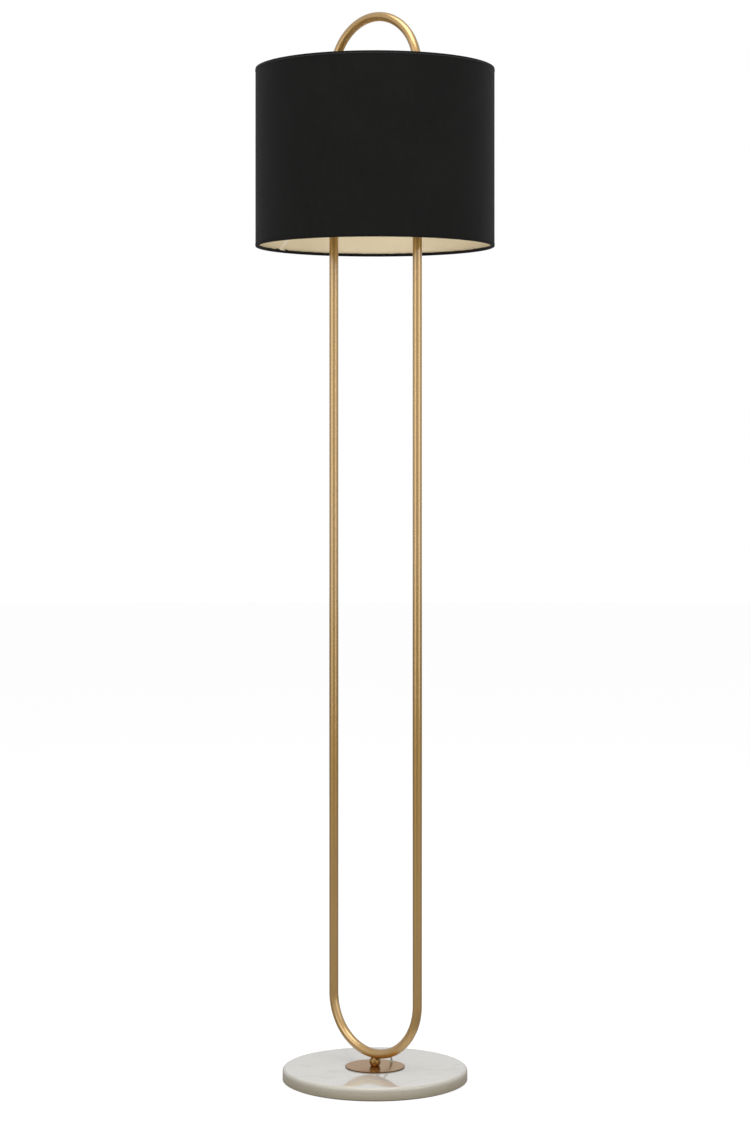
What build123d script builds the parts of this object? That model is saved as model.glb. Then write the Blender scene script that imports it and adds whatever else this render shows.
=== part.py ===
from build123d import *
import math
import os

# A floor lamp: a tall closed loop of round tube stands on a small ball, a round plate and a marble
# disc, and carries a drum shade round its upper end.  Millimetres, +Z up.  The origin is on the
# floor, on the lamp's axis.  The loop lies in the X-Z plane and the supply cord leaves towards +Y.

os.makedirs("parts", exist_ok=True)

# ---- overall sizes -------------------------------------------------------------------------------
overall_height = 1560.0     # floor to the top of the loop
leg_spacing = 160.0         # between the centre lines of the two legs
tube_dia = 13.5             # loop tube, outside
tube_wall = 1.2
shade_dia = 350.0           # over the rolled hems
shade_height = 260.0
arch_rise = 83.0            # the loop's top above the shade's upper rim
base_dia = 270.0
base_thick = 18.0
plate_dia = 87.0
plate_thick = 1.5
ball_dia = 16.4
ball_gap = 11.0             # clear height between the plate and the loop tube

# ---- base ----------------------------------------------------------------------------------------
pad_thick = 1.5
pad_inset = 4.0             # the felt pad's edge stands in from the marble's edge
base_edge_round = 5.0       # upper edge of the marble
base_foot_round = 1.5       # lower edge of the marble
plate_edge_round = 0.5
cut_over = 1.0              # how far a cut runs on past the face that it opens
recess_dia = 112.0          # hollow under the marble for the nut and the terminal block
recess_depth = 10.0
ball_flat = 2.2             # depth ground off the ball where it seats on the plate
stud_dia = 6.0              # M6
stud_clear = 0.3            # radial, where the stud passes through freely
marble_hole_dia = 10.0
thread_clear = 0.03         # radial, between a thread and its tapped hole
boss_dia = 8.8
fit_clear = 0.05            # radial, between pieces that push together
washer_dia = 32.0
washer_thick = 2.0
spring_washer_dia = 11.8
spring_washer_thick = 1.6
nut_flats = 10.0
nut_height = 5.0
stud_below_nut = 0.4
stud_in_boss = 8.0          # length of stud inside the loop tube
stud_chamfer = 0.4
washer_slit = 1.0           # the cut in the spring washer, and its slant in degrees
washer_slit_angle = 20

# ---- supply side ---------------------------------------------------------------------------------
gland_dia = 8.8
gland_length = 15.0
gland_flange_dia = 10.6
gland_flange_thick = 2.5
gland_edge_round = 0.8
gland_proud = 1.0           # the barrel stands this far out of the marble
cord_bore_dia = 6.4
groove_clear = 0.1
block_length = 20.0
block_width = 13.0
block_height = 8.2
block_corner = 1.2
block_end_x = -12.0         # the end of the terminal block that takes the lamp lead
screw_dia = 3.0
screw_spacing = 10.0        # along the terminal block, and across it
screw_row_gap = 6.0
screw_pocket = 3.0
screw_sunk = 0.6
slot_width = 0.6            # screwdriver slots
slot_depth = 0.5
lead_dia = 3.0
lead_clear = 0.5            # radial, where the lead passes through metal
grommet_dia = 5.6
grommet_flange_dia = 7.4
grommet_flange_thick = 0.8
grommet_depth = 2.0         # below the plate
grommet_bore_clear = 0.2    # radial, round the lead

# ---- crossbar and arch joint ---------------------------------------------------------------------
crossbar_rise = 75.0        # crossbar above the shade's lower rim
arm_dia = 10.0
arm_bore_dia = 7.2
hub_dia = 26.0
hub_height = 16.0
hub_round = 1.5
arm_in_hub = 5.0
joint_drop = 77.0           # the hidden tube joint below the shade's upper rim
spigot_length = 40.0
spigot_bore_dia = 6.0
grub_dia = 3.0
grub_length = 3.6
grub_offset = 10.0          # grub screws above and below the joint
grub_sunk = 0.2
hub_screw_sunk = 0.4
hex_key = 1.5               # across the flats of a grub screw's socket
hex_depth = 1.2

# ---- lampholder ----------------------------------------------------------------------------------
nipple_dia = 10.0           # M10 x 1
nipple_bore_dia = 7.2
nipple_in_hub = 4.0
locknut_flats = 14.0
locknut_height = 3.5
inner_nut_height = 3.0
holder_dia = 39.0
cap_height = 22.0
cap_wall = 1.2
cap_flat_dia = 20.0         # flat seat of the cap on the locknut
barrel_height = 32.0
barrel_wall = 1.5
ring_thread_foot = 8.0      # plain length of the barrel below its thread, and above it
ring_thread_end = 1.0
ring_thread_pitch = 2.0
ring_thread_width = 0.7
ring_thread_depth = 0.5
insulator_height = 11.0
pocket_depth = 2.0          # screw pockets and groove in the insulator's face
groove_inner = 1.0          # the groove's two edges, outside the socket's bore
groove_outer = 2.5
contact_screw_dia = 3.8
contact_screw_height = 1.2
contact_screw_offset = 8.5
contact_screw_clear = 0.3
socket_bore_dia = 27.2
socket_wall = 0.4
socket_height = 19.0
socket_lip = 2.0            # turned-in foot of the screw shell
contact_height = 2.0
contact_dia = 9.0
contact_base = 0.6
contact_round = 0.5
ring_over = 8.0             # shade ring nuts: flange and collar beyond the holder's rim
collar_over = 3.5
ring_dia = holder_dia + 2 * ring_over
ring_collar_dia = holder_dia + 2 * collar_over
ring_height = 5.5
ring_flange_thick = 2.0
ring_grips = 24
ring_grip_r = 1.5
ring_grip_out = 0.6
fitter_height = 39.5        # underside of the shade's fitter above the holder's foot

# ---- rotary switch -------------------------------------------------------------------------------
switch_height = 14.0        # switch axis above the holder's foot
switch_body_dia = 30.0
switch_body_foot = 5.0      # underside of the switch body above the holder's foot
switch_face = 14.0          # flat face of the switch body, from the lamp's axis
shaft_dia = 5.0
shaft_root = 8.0            # inner end of the shaft, from the lamp's axis
run_clear = 0.08            # radial, between the turning shaft and its bush
end_clear = 0.3
bush_dia = 7.6
bush_over = 4.5             # bush and knob start beyond the holder's rim
knob_over = 5.5
bush_end = holder_dia / 2 + bush_over
bush_nut_flats = 12.0
bush_nut_thick = 2.5
knob_start = holder_dia / 2 + knob_over
knob_length = 13.0
knob_dia = 13.0
knob_flutes = 16
flute_r = 0.8
flute_out = 0.35            # centre of a flute, outside the knob's rim
knob_end_wall = 2.0
flat_start = 2.0            # where the shaft's flat starts, from the knob's inner end
shaft_flat = 0.6            # depth of the flat
knob_fit = 0.02             # radial, between the knob and its shaft

# ---- bulb ----------------------------------------------------------------------------------------
bulb_dia = 60.0
bulb_length = 106.0
bulb_glass_wall = 0.9
bulb_neck_dia = 24.8
bulb_cap_dia = 26.4
bulb_cap_foot = 6.0
bulb_cap_top = 28.0
bulb_shoulder_angle = 25    # where the neck leaves the sphere, below its widest circle
neck_above_cap = 4.0        # straight neck that shows above the cap, and that is hidden in it
neck_in_cap = 6.0
cap_glue_gap = 0.1
cap_skin = 0.3
ridge_start = 1.0
ridge_rise = 1.2            # a thread ridge's slanted flank, and its flat crest
ridge_crest = 0.8
bulb_tip_dia = 9.6
bulb_tip_height = 1.2
glass_seat = 2.0            # black glass that reaches up inside the cap
thread_pitch = 3.6          # of the bulb's cap
filament_dia = 1.6
filament_circle_dia = 22.0
filament_count = 4
filament_first_angle = 45
filament_length = 34.0
filament_drop = 16.0        # foot of the filaments below the sphere's centre
support_wire = 0.6
stem_r = 2.2
stem_drop = 6.0             # the stem reaches its thin size this far below the filaments
stem_foot_thick = 1.5
stem_flare_r = 4.5
stem_flare = 8.0

# ---- shade ---------------------------------------------------------------------------------------
fabric_thick = 0.6
lining_thick = 0.55
hem_thick = 0.4
hem_height = 5.0            # outside leg of the rolled hem
skin_clear = 0.05           # between the layers of the shade's wall
ring_wire_dia = 3.5
seam_width = 8.0
seam_thick = 0.35
seam_end_gap = 0.5
fitter_slip = 0.8           # radial, between the fitter's hole and the holder
fitter_over = 6.0           # fitter's disc beyond the holder's rim
fitter_bore_dia = holder_dia + 2 * fitter_slip
fitter_dia = holder_dia + 2 * fitter_over
fitter_thick = 1.5
spoke_wire_dia = 3.5
spoke_flat = 45.0           # radius at which a spoke turns up
spoke_bend = 12.0
spoke_count = 3
spoke_first_angle = 90
spoke_snip = 0.3            # radial, where the hem is snipped round a spoke
spoke_weld_in = 1.5         # a spoke starts this far outside the fitter's bore
spoke_weld_past = 1.0       # and stays flattened this far past the shade rings

# ---- heights and radii that follow ---------------------------------------------------------------
tube_r = tube_dia / 2
bore_r = tube_r - tube_wall
bend_r = leg_spacing / 2
base_r = base_dia / 2
base_top = pad_thick + base_thick
plate_top = base_top + plate_thick
tube_under = plate_top + ball_gap
low_centre_z = tube_under + tube_r + bend_r
high_centre_z = overall_height - tube_r - bend_r
shade_top = overall_height - arch_rise
shade_bottom = shade_top - shade_height
hub_z = shade_bottom + crossbar_rise
hub_top = hub_z + hub_height / 2
arch_joint_z = shade_top - joint_drop
holder_z = hub_top + locknut_height
cap_top = holder_z + cap_height
switch_z = holder_z + switch_height
insulator_top = cap_top + insulator_height
contact_top = insulator_top + contact_height
bulb_z = contact_top
fitter_z = holder_z + fitter_height
recess_top = pad_thick + recess_depth
groove_z = pad_thick + gland_dia / 2

# ---- the lamp lead's route -----------------------------------------------------------------------
# From the terminal block under the marble up through the plate, over to the back of the loop tube,
# round the loop's lower bend, up the right leg, along the crossbar and up into the lampholder.
lead_r = lead_dia / 2
lead_hole = (1.5, 36.0)                     # where the lead goes down through the plate
lead_low_z = recess_top - block_height / 2
leave_angle = math.radians(18)              # where the lead leaves the tube's centre line
exit_x = 11.0


def tangent_z(x):
    """Height, at x, of the line that touches the lower bend's centre line at the leaving angle."""
    return low_centre_z + x * math.tan(leave_angle) - bend_r / math.cos(leave_angle)


lead_points = [
    (block_end_x, lead_hole[1], lead_low_z),
    (lead_hole[0], lead_hole[1], lead_low_z),
    (lead_hole[0], lead_hole[1], plate_top + 6.0),
    (5.0, 25.0, plate_top + 10.9),
    (exit_x, 0, tangent_z(exit_x)),
    (bend_r, 0, tangent_z(bend_r)),
    (bend_r, 0, hub_z),
    (0, 0, hub_z),
    (0, 0, holder_z + switch_body_foot),
]
lead_radii = [6.0, 8.0, 40.0, 6.0, bend_r, 6.0, 6.0]
exit_point = Vector(*lead_points[4])
exit_way = (Vector(*lead_points[3]) - exit_point).normalized()


def finish(piece, name):
    """Name a finished piece and write its STEP file."""
    piece.part.label = name
    export_step(piece.part, "parts/" + name + ".step")


def axis_plane(z):
    """A level plane on the lamp's axis at height z."""
    return Plane.XY.offset(z)


def front_plane(distance, z):
    """An upright plane facing -Y, centred on the axis at height z, this far in front of it."""
    return Plane(origin=(0, -distance, z), x_dir=(1, 0, 0), z_dir=(0, -1, 0))


def radial_plane(angle):
    """An upright plane through the axis: its x runs outwards at this angle and its y runs up."""
    a = math.radians(angle)
    outwards = (math.cos(a), math.sin(a), 0)
    return Plane(origin=(0, 0, 0), x_dir=outwards, z_dir=(math.sin(a), -math.cos(a), 0))


# ==== BASE ========================================================================================

with BuildPart() as foot_pad:
    with BuildSketch():
        Circle(base_r - pad_inset)
    extrude(amount=pad_thick)
finish(foot_pad, "foot_pad")

with BuildPart() as marble_base:
    with BuildSketch(axis_plane(pad_thick)):
        Circle(base_r)
    extrude(amount=base_thick)
    fillet(marble_base.edges().group_by(Axis.Z)[-1], base_edge_round)
    fillet(marble_base.edges().group_by(Axis.Z)[0], base_foot_round)
    with BuildSketch(axis_plane(pad_thick)):
        Circle(recess_dia / 2)
    extrude(amount=recess_depth, mode=Mode.SUBTRACT)
    with BuildSketch(axis_plane(recess_top)):
        Circle(marble_hole_dia / 2)
        with Locations(lead_hole):
            Circle(grommet_dia / 2 + fit_clear)
    extrude(amount=base_top - recess_top, mode=Mode.SUBTRACT)
    # The cord's groove: round-topped, open downwards, from the hollow out to the back edge.
    with BuildSketch(Plane.XZ):
        with Locations((0, groove_z)):
            Circle(gland_dia / 2 + groove_clear)
        with Locations((0, groove_z)):
            Rectangle(gland_dia + 2 * groove_clear, gland_dia, align=(Align.CENTER, Align.MAX))
    extrude(amount=-(base_r + cut_over), mode=Mode.SUBTRACT)
finish(marble_base, "marble_base")

with BuildPart() as base_plate:
    with BuildSketch(axis_plane(base_top)):
        Circle(plate_dia / 2)
        Circle(stud_dia / 2 + stud_clear, mode=Mode.SUBTRACT)
        with Locations(lead_hole):
            Circle(grommet_dia / 2 + fit_clear, mode=Mode.SUBTRACT)
    extrude(amount=plate_thick)
    rim = base_plate.edges().filter_by(GeomType.CIRCLE).group_by(lambda e: e.radius)[-1]
    fillet(rim.sort_by(Axis.Z)[-1], plate_edge_round)
finish(base_plate, "base_plate")

with BuildPart() as lead_grommet:
    with BuildSketch(axis_plane(base_top - grommet_depth)):
        with Locations(lead_hole):
            Circle(grommet_dia / 2)
    extrude(amount=grommet_depth + plate_thick)
    with BuildSketch(axis_plane(plate_top)):
        with Locations(lead_hole):
            Circle(grommet_flange_dia / 2)
    extrude(amount=grommet_flange_thick)
    fillet(lead_grommet.edges().group_by(Axis.Z)[-1], grommet_flange_thick / 2)
    with Locations((lead_hole[0], lead_hole[1], plate_top + grommet_flange_thick)):
        Hole(lead_r + grommet_bore_clear)
finish(lead_grommet, "lead_grommet")

ball_centre_z = plate_top + ball_dia / 2 - ball_flat
with BuildPart() as ball_spacer:
    with Locations((0, 0, ball_centre_z)):
        Sphere(ball_dia / 2)
    split(bisect_by=axis_plane(plate_top), keep=Keep.TOP)
    with Locations(Location((0, 0, low_centre_z), (90, 0, 0))):
        Torus(bend_r, tube_r, mode=Mode.SUBTRACT)
    with BuildSketch(axis_plane(plate_top)):
        Circle(stud_dia / 2 + stud_clear)
    extrude(amount=ball_dia, mode=Mode.SUBTRACT)
finish(ball_spacer, "ball_spacer")

with BuildPart() as stud_boss:
    with Locations((0, 0, tube_under + tube_r)):
        Cylinder(boss_dia / 2, tube_dia)
    with Locations(Location((0, 0, low_centre_z), (90, 0, 0))):
        Torus(bend_r, bore_r - fit_clear, mode=Mode.INTERSECT)
    with BuildSketch(axis_plane(tube_under)):
        Circle(stud_dia / 2 + thread_clear)
    extrude(amount=tube_wall + stud_in_boss + end_clear, mode=Mode.SUBTRACT)
finish(stud_boss, "stud_boss")

washer_low = recess_top - washer_thick
spring_low = washer_low - spring_washer_thick
nut_low = spring_low - nut_height
stud_low = nut_low - stud_below_nut
stud_top = tube_under + tube_wall + stud_in_boss
with BuildPart() as mounting_stud:
    with BuildSketch(axis_plane(stud_low)):
        Circle(stud_dia / 2)
    extrude(amount=stud_top - stud_low)
    chamfer(mounting_stud.edges(), stud_chamfer)
finish(mounting_stud, "mounting_stud")

with BuildPart() as clamp_washer:
    with BuildSketch(axis_plane(washer_low)):
        Circle(washer_dia / 2)
        Circle(stud_dia / 2 + stud_clear, mode=Mode.SUBTRACT)
    extrude(amount=washer_thick)
finish(clamp_washer, "clamp_washer")

with BuildPart() as spring_washer:
    with BuildSketch(axis_plane(spring_low)):
        Circle(spring_washer_dia / 2)
        Circle(stud_dia / 2 + stud_clear, mode=Mode.SUBTRACT)
        with Locations((spring_washer_dia / 2, 0)):
            Rectangle(spring_washer_dia, washer_slit, rotation=washer_slit_angle, mode=Mode.SUBTRACT)
    extrude(amount=spring_washer_thick)
finish(spring_washer, "spring_washer")

with BuildPart() as stud_nut:
    with BuildSketch(axis_plane(nut_low)):
        RegularPolygon(nut_flats / 2, 6, major_radius=False)
        Circle(stud_dia / 2 + thread_clear, mode=Mode.SUBTRACT)
    extrude(amount=nut_height)
finish(stud_nut, "stud_nut")

# ==== SUPPLY SIDE =================================================================================

gland_start = base_r - gland_length + gland_proud
with BuildPart() as cord_gland:
    with BuildSketch(Plane.XZ.offset(-gland_start)):
        with Locations((0, groove_z)):
            Circle(gland_dia / 2)
    extrude(amount=-gland_length)
    with BuildSketch(Plane.XZ.offset(-(gland_start + gland_length))):
        with Locations((0, groove_z)):
            Circle(gland_flange_dia / 2)
    extrude(amount=-gland_flange_thick)
    fillet(cord_gland.edges().group_by(Axis.Y)[-1], gland_edge_round)
    with BuildSketch(Plane.XZ.offset(-gland_start)):
        with Locations((0, groove_z)):
            Circle(cord_bore_dia / 2)
    extrude(amount=-(gland_length + gland_flange_thick), mode=Mode.SUBTRACT)
finish(cord_gland, "cord_gland")

block_low = recess_top - block_height
block_centre_x = block_end_x - block_length / 2
with BuildPart() as terminal_block:
    with BuildSketch(axis_plane(block_low)):
        with Locations((block_centre_x, lead_hole[1])):
            RectangleRounded(block_length, block_width, block_corner)
    extrude(amount=block_height)
    with BuildSketch(axis_plane(block_low)):
        with Locations((block_centre_x, lead_hole[1])):
            with GridLocations(screw_spacing, screw_row_gap, 2, 2):
                Circle(screw_dia / 2 + fit_clear)
    extrude(amount=screw_pocket, mode=Mode.SUBTRACT)
finish(terminal_block, "terminal_block")

with BuildPart() as terminal_screws:
    with BuildSketch(axis_plane(block_low + screw_sunk)):
        with Locations((block_centre_x, lead_hole[1])):
            with GridLocations(screw_spacing, screw_row_gap, 2, 2):
                Circle(screw_dia / 2)
                Rectangle(screw_dia * 0.8, slot_width, mode=Mode.SUBTRACT)
    extrude(amount=slot_depth)
    with BuildSketch(axis_plane(block_low + screw_sunk + slot_depth)):
        with Locations((block_centre_x, lead_hole[1])):
            with GridLocations(screw_spacing, screw_row_gap, 2, 2):
                Circle(screw_dia / 2)
    extrude(amount=screw_pocket - screw_sunk - slot_depth)
finish(terminal_screws, "terminal_screws")

with BuildPart() as lamp_lead:
    with BuildLine() as lead_path:
        FilletPolyline(*lead_points, radius=lead_radii)
    with BuildSketch(Plane(origin=lead_points[0], z_dir=(1, 0, 0))):
        Circle(lead_r)
    sweep()
lead_length = lead_path.wires()[0].length
lead_volume_ratio = lamp_lead.part.volume / (math.pi * lead_r**2 * lead_length)
print("lamp lead: length", round(lead_length, 1), "mm, radii", [round(r, 1) for r in lead_radii])
print("  volume over section times length:", round(lead_volume_ratio, 4))
finish(lamp_lead, "lamp_lead")

# ==== LOOP ========================================================================================

joint_screws = [(side, arch_joint_z + way * grub_offset) for side in (-1, 1) for way in (-1, 1)]


def grub_plane(side, z):
    """The plane at a leg's inner face that a grub screw goes in through, facing into the leg."""
    return Plane(origin=(side * (bend_r - tube_r), 0, z), x_dir=(0, 1, 0), z_dir=(side, 0, 0))


with BuildPart() as loop_tube:
    with BuildLine(Plane.XZ):
        Line((-bend_r, arch_joint_z), (-bend_r, low_centre_z))
        CenterArc((0, low_centre_z), bend_r, 180, 180)
        Line((bend_r, low_centre_z), (bend_r, arch_joint_z))
    with BuildSketch(Plane(origin=(-bend_r, 0, arch_joint_z), z_dir=(0, 0, -1))):
        Circle(tube_r)
        Circle(bore_r, mode=Mode.SUBTRACT)
    sweep()
    with BuildSketch(axis_plane(tube_under - cut_over)):
        Circle(stud_dia / 2 + stud_clear)
    extrude(amount=tube_r, mode=Mode.SUBTRACT)
    with BuildSketch(Plane(origin=exit_point, z_dir=exit_way)):
        Circle(lead_r + lead_clear)
    extrude(amount=tube_dia, mode=Mode.SUBTRACT)
    with BuildSketch(Plane(origin=(bend_r, 0, hub_z), x_dir=(0, 1, 0), z_dir=(-1, 0, 0))):
        Circle(arm_bore_dia / 2)
    extrude(amount=tube_dia, mode=Mode.SUBTRACT)
    for side in (-1, 1):
        with BuildSketch(grub_plane(side, arch_joint_z - grub_offset)):
            Circle(grub_dia / 2 + fit_clear)
        extrude(amount=tube_r, mode=Mode.SUBTRACT)
finish(loop_tube, "loop_tube")

with BuildPart() as top_arch:
    with BuildLine(Plane.XZ):
        Line((-bend_r, arch_joint_z), (-bend_r, high_centre_z))
        CenterArc((0, high_centre_z), bend_r, 180, -180)
        Line((bend_r, high_centre_z), (bend_r, arch_joint_z))
    with BuildSketch(Plane(origin=(-bend_r, 0, arch_joint_z), z_dir=(0, 0, 1))):
        Circle(tube_r)
        Circle(bore_r, mode=Mode.SUBTRACT)
    sweep()
    for side in (-1, 1):
        with BuildSketch(grub_plane(side, arch_joint_z + grub_offset)):
            Circle(grub_dia / 2 + fit_clear)
        extrude(amount=tube_r, mode=Mode.SUBTRACT)
finish(top_arch, "top_arch")

with BuildPart() as arch_spigots:
    with BuildSketch(axis_plane(arch_joint_z - spigot_length / 2)):
        with Locations((-bend_r, 0), (bend_r, 0)):
            Circle(bore_r - fit_clear)
            Circle(spigot_bore_dia / 2, mode=Mode.SUBTRACT)
    extrude(amount=spigot_length)
    for side, z in joint_screws:
        with BuildSketch(grub_plane(side, z)):
            Circle(grub_dia / 2 + thread_clear)
        extrude(amount=tube_r, mode=Mode.SUBTRACT)
finish(arch_spigots, "arch_spigots")

with BuildPart() as spigot_screws:
    for side, z in joint_screws:
        with BuildSketch(grub_plane(side, z).offset(grub_sunk)):
            Circle(grub_dia / 2)
        extrude(amount=grub_length)
        with BuildSketch(grub_plane(side, z).offset(grub_sunk)):
            RegularPolygon(hex_key / 2, 6, major_radius=False)
        extrude(amount=hex_depth, mode=Mode.SUBTRACT)
finish(spigot_screws, "spigot_screws")

# ==== CROSSBAR AND NIPPLE =========================================================================

arm_start = hub_dia / 2 - arm_in_hub
hub_low = hub_z - hub_height / 2
hub_screw_places = [(side * (hub_dia / 2 - arm_in_hub / 2), 0) for side in (-1, 1)]
with BuildPart() as crossbar_arms:
    for side in (-1, 1):
        with BuildSketch(Plane(origin=(side * arm_start, 0, hub_z), x_dir=(0, 1, 0), z_dir=(side, 0, 0))):
            Circle(arm_dia / 2)
            Circle(arm_bore_dia / 2, mode=Mode.SUBTRACT)
        extrude(amount=bend_r - arm_start)
    # The outer ends are saddle-cut to the legs that they are brazed to.
    with BuildSketch(axis_plane(hub_z - arm_dia)):
        with Locations((-bend_r, 0), (bend_r, 0)):
            Circle(tube_r)
    extrude(amount=2 * arm_dia, mode=Mode.SUBTRACT)
finish(crossbar_arms, "crossbar_arms")

with BuildPart() as centre_hub:
    with BuildSketch(axis_plane(hub_low)):
        Circle(hub_dia / 2)
    extrude(amount=hub_height)
    fillet(centre_hub.edges(), hub_round)
    with BuildSketch(Plane(origin=(0, 0, hub_z), x_dir=(0, 1, 0), z_dir=(1, 0, 0))):
        Circle(arm_bore_dia / 2)
    extrude(amount=hub_dia / 2, both=True, mode=Mode.SUBTRACT)
    for side in (-1, 1):
        with BuildSketch(Plane(origin=(side * arm_start, 0, hub_z), x_dir=(0, 1, 0), z_dir=(side, 0, 0))):
            Circle(arm_dia / 2 + fit_clear)
        extrude(amount=arm_in_hub + cut_over, mode=Mode.SUBTRACT)
    with BuildSketch(axis_plane(hub_z)):
        Circle(nipple_bore_dia / 2)
    extrude(amount=hub_height, mode=Mode.SUBTRACT)
    with BuildSketch(axis_plane(hub_top - nipple_in_hub)):
        Circle(nipple_dia / 2 + thread_clear)
    extrude(amount=hub_height, mode=Mode.SUBTRACT)
    with BuildSketch(axis_plane(hub_low)):
        with Locations(*hub_screw_places):
            Circle(grub_dia / 2 + thread_clear)
    extrude(amount=hub_height / 2 - arm_dia / 2, mode=Mode.SUBTRACT)
finish(centre_hub, "centre_hub")

with BuildPart() as hub_screws:
    with BuildSketch(axis_plane(hub_low + hub_screw_sunk)):
        with Locations(*hub_screw_places):
            Circle(grub_dia / 2)
            RegularPolygon(hex_key / 2, 6, major_radius=False, mode=Mode.SUBTRACT)
    extrude(amount=hex_depth)
    with BuildSketch(axis_plane(hub_low + hub_screw_sunk + hex_depth)):
        with Locations(*hub_screw_places):
            Circle(grub_dia / 2)
    extrude(amount=hub_height / 2 - arm_dia / 2 - hub_screw_sunk - hex_depth)
finish(hub_screws, "hub_screws")

inner_nut_low = holder_z + cap_wall
nipple_top = inner_nut_low + inner_nut_height
with BuildPart() as threaded_nipple:
    with BuildSketch(axis_plane(hub_top - nipple_in_hub)):
        Circle(nipple_dia / 2)
        Circle(nipple_bore_dia / 2, mode=Mode.SUBTRACT)
    extrude(amount=nipple_top - hub_top + nipple_in_hub)
finish(threaded_nipple, "threaded_nipple")

with BuildPart() as nipple_locknuts:
    with BuildSketch(axis_plane(hub_top)):
        RegularPolygon(locknut_flats / 2, 6, major_radius=False)
        Circle(nipple_dia / 2 + thread_clear, mode=Mode.SUBTRACT)
    extrude(amount=locknut_height)
    with BuildSketch(axis_plane(inner_nut_low)):
        RegularPolygon(locknut_flats / 2, 6, major_radius=False)
        Circle(nipple_dia / 2 + thread_clear, mode=Mode.SUBTRACT)
    extrude(amount=inner_nut_height)
finish(nipple_locknuts, "nipple_locknuts")

# ==== LAMPHOLDER ==================================================================================

holder_r = holder_dia / 2
cap_curve = holder_r - cap_flat_dia / 2


def cap_profile(inset):
    """Half section of the cap, from its foot up to its rim, drawn in by inset."""
    Polyline((0, inset), (cap_flat_dia / 2, inset))
    RadiusArc((cap_flat_dia / 2, inset), (holder_r - inset, cap_curve), -(cap_curve - inset))
    Polyline((holder_r - inset, cap_curve), (holder_r - inset, cap_height), (0, cap_height), (0, inset))


with BuildPart() as holder_cap:
    with BuildSketch(Plane(origin=(0, 0, holder_z), x_dir=(1, 0, 0), z_dir=(0, -1, 0))):
        with BuildLine():
            cap_profile(0)
        make_face()
    revolve(axis=Axis.Z)
    with BuildSketch(Plane(origin=(0, 0, holder_z), x_dir=(1, 0, 0), z_dir=(0, -1, 0))):
        with BuildLine():
            cap_profile(cap_wall)
        make_face()
    revolve(axis=Axis.Z, mode=Mode.SUBTRACT)
    with BuildSketch(axis_plane(holder_z)):
        Circle(nipple_dia / 2 + fit_clear)
    extrude(amount=cap_wall, mode=Mode.SUBTRACT)
    with BuildSketch(front_plane(0, switch_z)):
        Circle(bush_dia / 2 + fit_clear)
    extrude(amount=holder_dia, mode=Mode.SUBTRACT)
finish(holder_cap, "holder_cap")

with BuildPart() as holder_barrel:
    with BuildSketch(axis_plane(cap_top)):
        Circle(holder_r)
        Circle(holder_r - barrel_wall, mode=Mode.SUBTRACT)
    extrude(amount=barrel_height)
    # Thread for the shade rings, drawn as fine grooves round the upper half.
    thread_start = cap_top + ring_thread_foot
    thread_turns = int((barrel_height - ring_thread_foot - ring_thread_end) / ring_thread_pitch)
    groove_places = [(holder_r, thread_start + turn * ring_thread_pitch) for turn in range(thread_turns)]
    with BuildSketch(Plane.XZ):
        with Locations(*groove_places):
            Rectangle(ring_thread_depth, ring_thread_width, align=(Align.MAX, Align.CENTER))
    revolve(axis=Axis.Z, mode=Mode.SUBTRACT)
finish(holder_barrel, "holder_barrel")

with BuildPart() as insulator:
    with BuildSketch(axis_plane(cap_top)):
        Circle(holder_r - barrel_wall - fit_clear)
    extrude(amount=insulator_height)
    # A groove round the socket's foot and two screw pockets.
    with BuildSketch(axis_plane(insulator_top - pocket_depth)):
        Circle(socket_bore_dia / 2 + groove_outer)
        Circle(socket_bore_dia / 2 + groove_inner, mode=Mode.SUBTRACT)
        with Locations((0, contact_screw_offset), (0, -contact_screw_offset)):
            Circle(contact_screw_dia / 2 + contact_screw_clear)
    extrude(amount=pocket_depth, mode=Mode.SUBTRACT)
finish(insulator, "insulator")

with BuildPart() as contact_screws:
    with BuildSketch(axis_plane(insulator_top - pocket_depth)):
        with Locations((0, contact_screw_offset), (0, -contact_screw_offset)):
            Circle(contact_screw_dia / 2)
    extrude(amount=contact_screw_height)
    with BuildSketch(axis_plane(insulator_top - pocket_depth + contact_screw_height)):
        with Locations((0, contact_screw_offset), (0, -contact_screw_offset)):
            Rectangle(contact_screw_dia + cut_over, slot_width)
    extrude(amount=-slot_depth, mode=Mode.SUBTRACT)
finish(contact_screws, "contact_screws")

socket_r = socket_bore_dia / 2
with BuildPart() as screw_shell:
    with BuildSketch(axis_plane(insulator_top)):
        Circle(socket_r + socket_wall)
        Circle(socket_r, mode=Mode.SUBTRACT)
    extrude(amount=socket_height)
    with BuildSketch(axis_plane(insulator_top)):
        Circle(socket_r + socket_wall)
        Circle(socket_r - socket_lip, mode=Mode.SUBTRACT)
    extrude(amount=socket_wall)
finish(screw_shell, "screw_shell")

with BuildPart() as centre_contact:
    with BuildSketch(axis_plane(insulator_top)):
        Circle(contact_dia / 2)
    extrude(amount=contact_base)
    with BuildSketch(axis_plane(insulator_top + contact_base)):
        Circle(contact_dia / 4)
    extrude(amount=contact_height - contact_base)
    fillet(centre_contact.edges().group_by(Axis.Z)[-1], contact_round)
finish(centre_contact, "centre_contact")


def ring_section(z_flange, way):
    """Half section of a shade ring nut whose flange lies on z_flange and whose collar goes `way`."""
    with Locations(((holder_r + ring_dia / 2 + fit_clear) / 2, z_flange + way * ring_flange_thick / 2)):
        Rectangle(ring_dia / 2 - holder_r - fit_clear, ring_flange_thick)
    with Locations(((holder_r + ring_collar_dia / 2 + fit_clear) / 2, z_flange + way * ring_height / 2)):
        Rectangle(ring_collar_dia / 2 - holder_r - fit_clear, ring_height)


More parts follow.
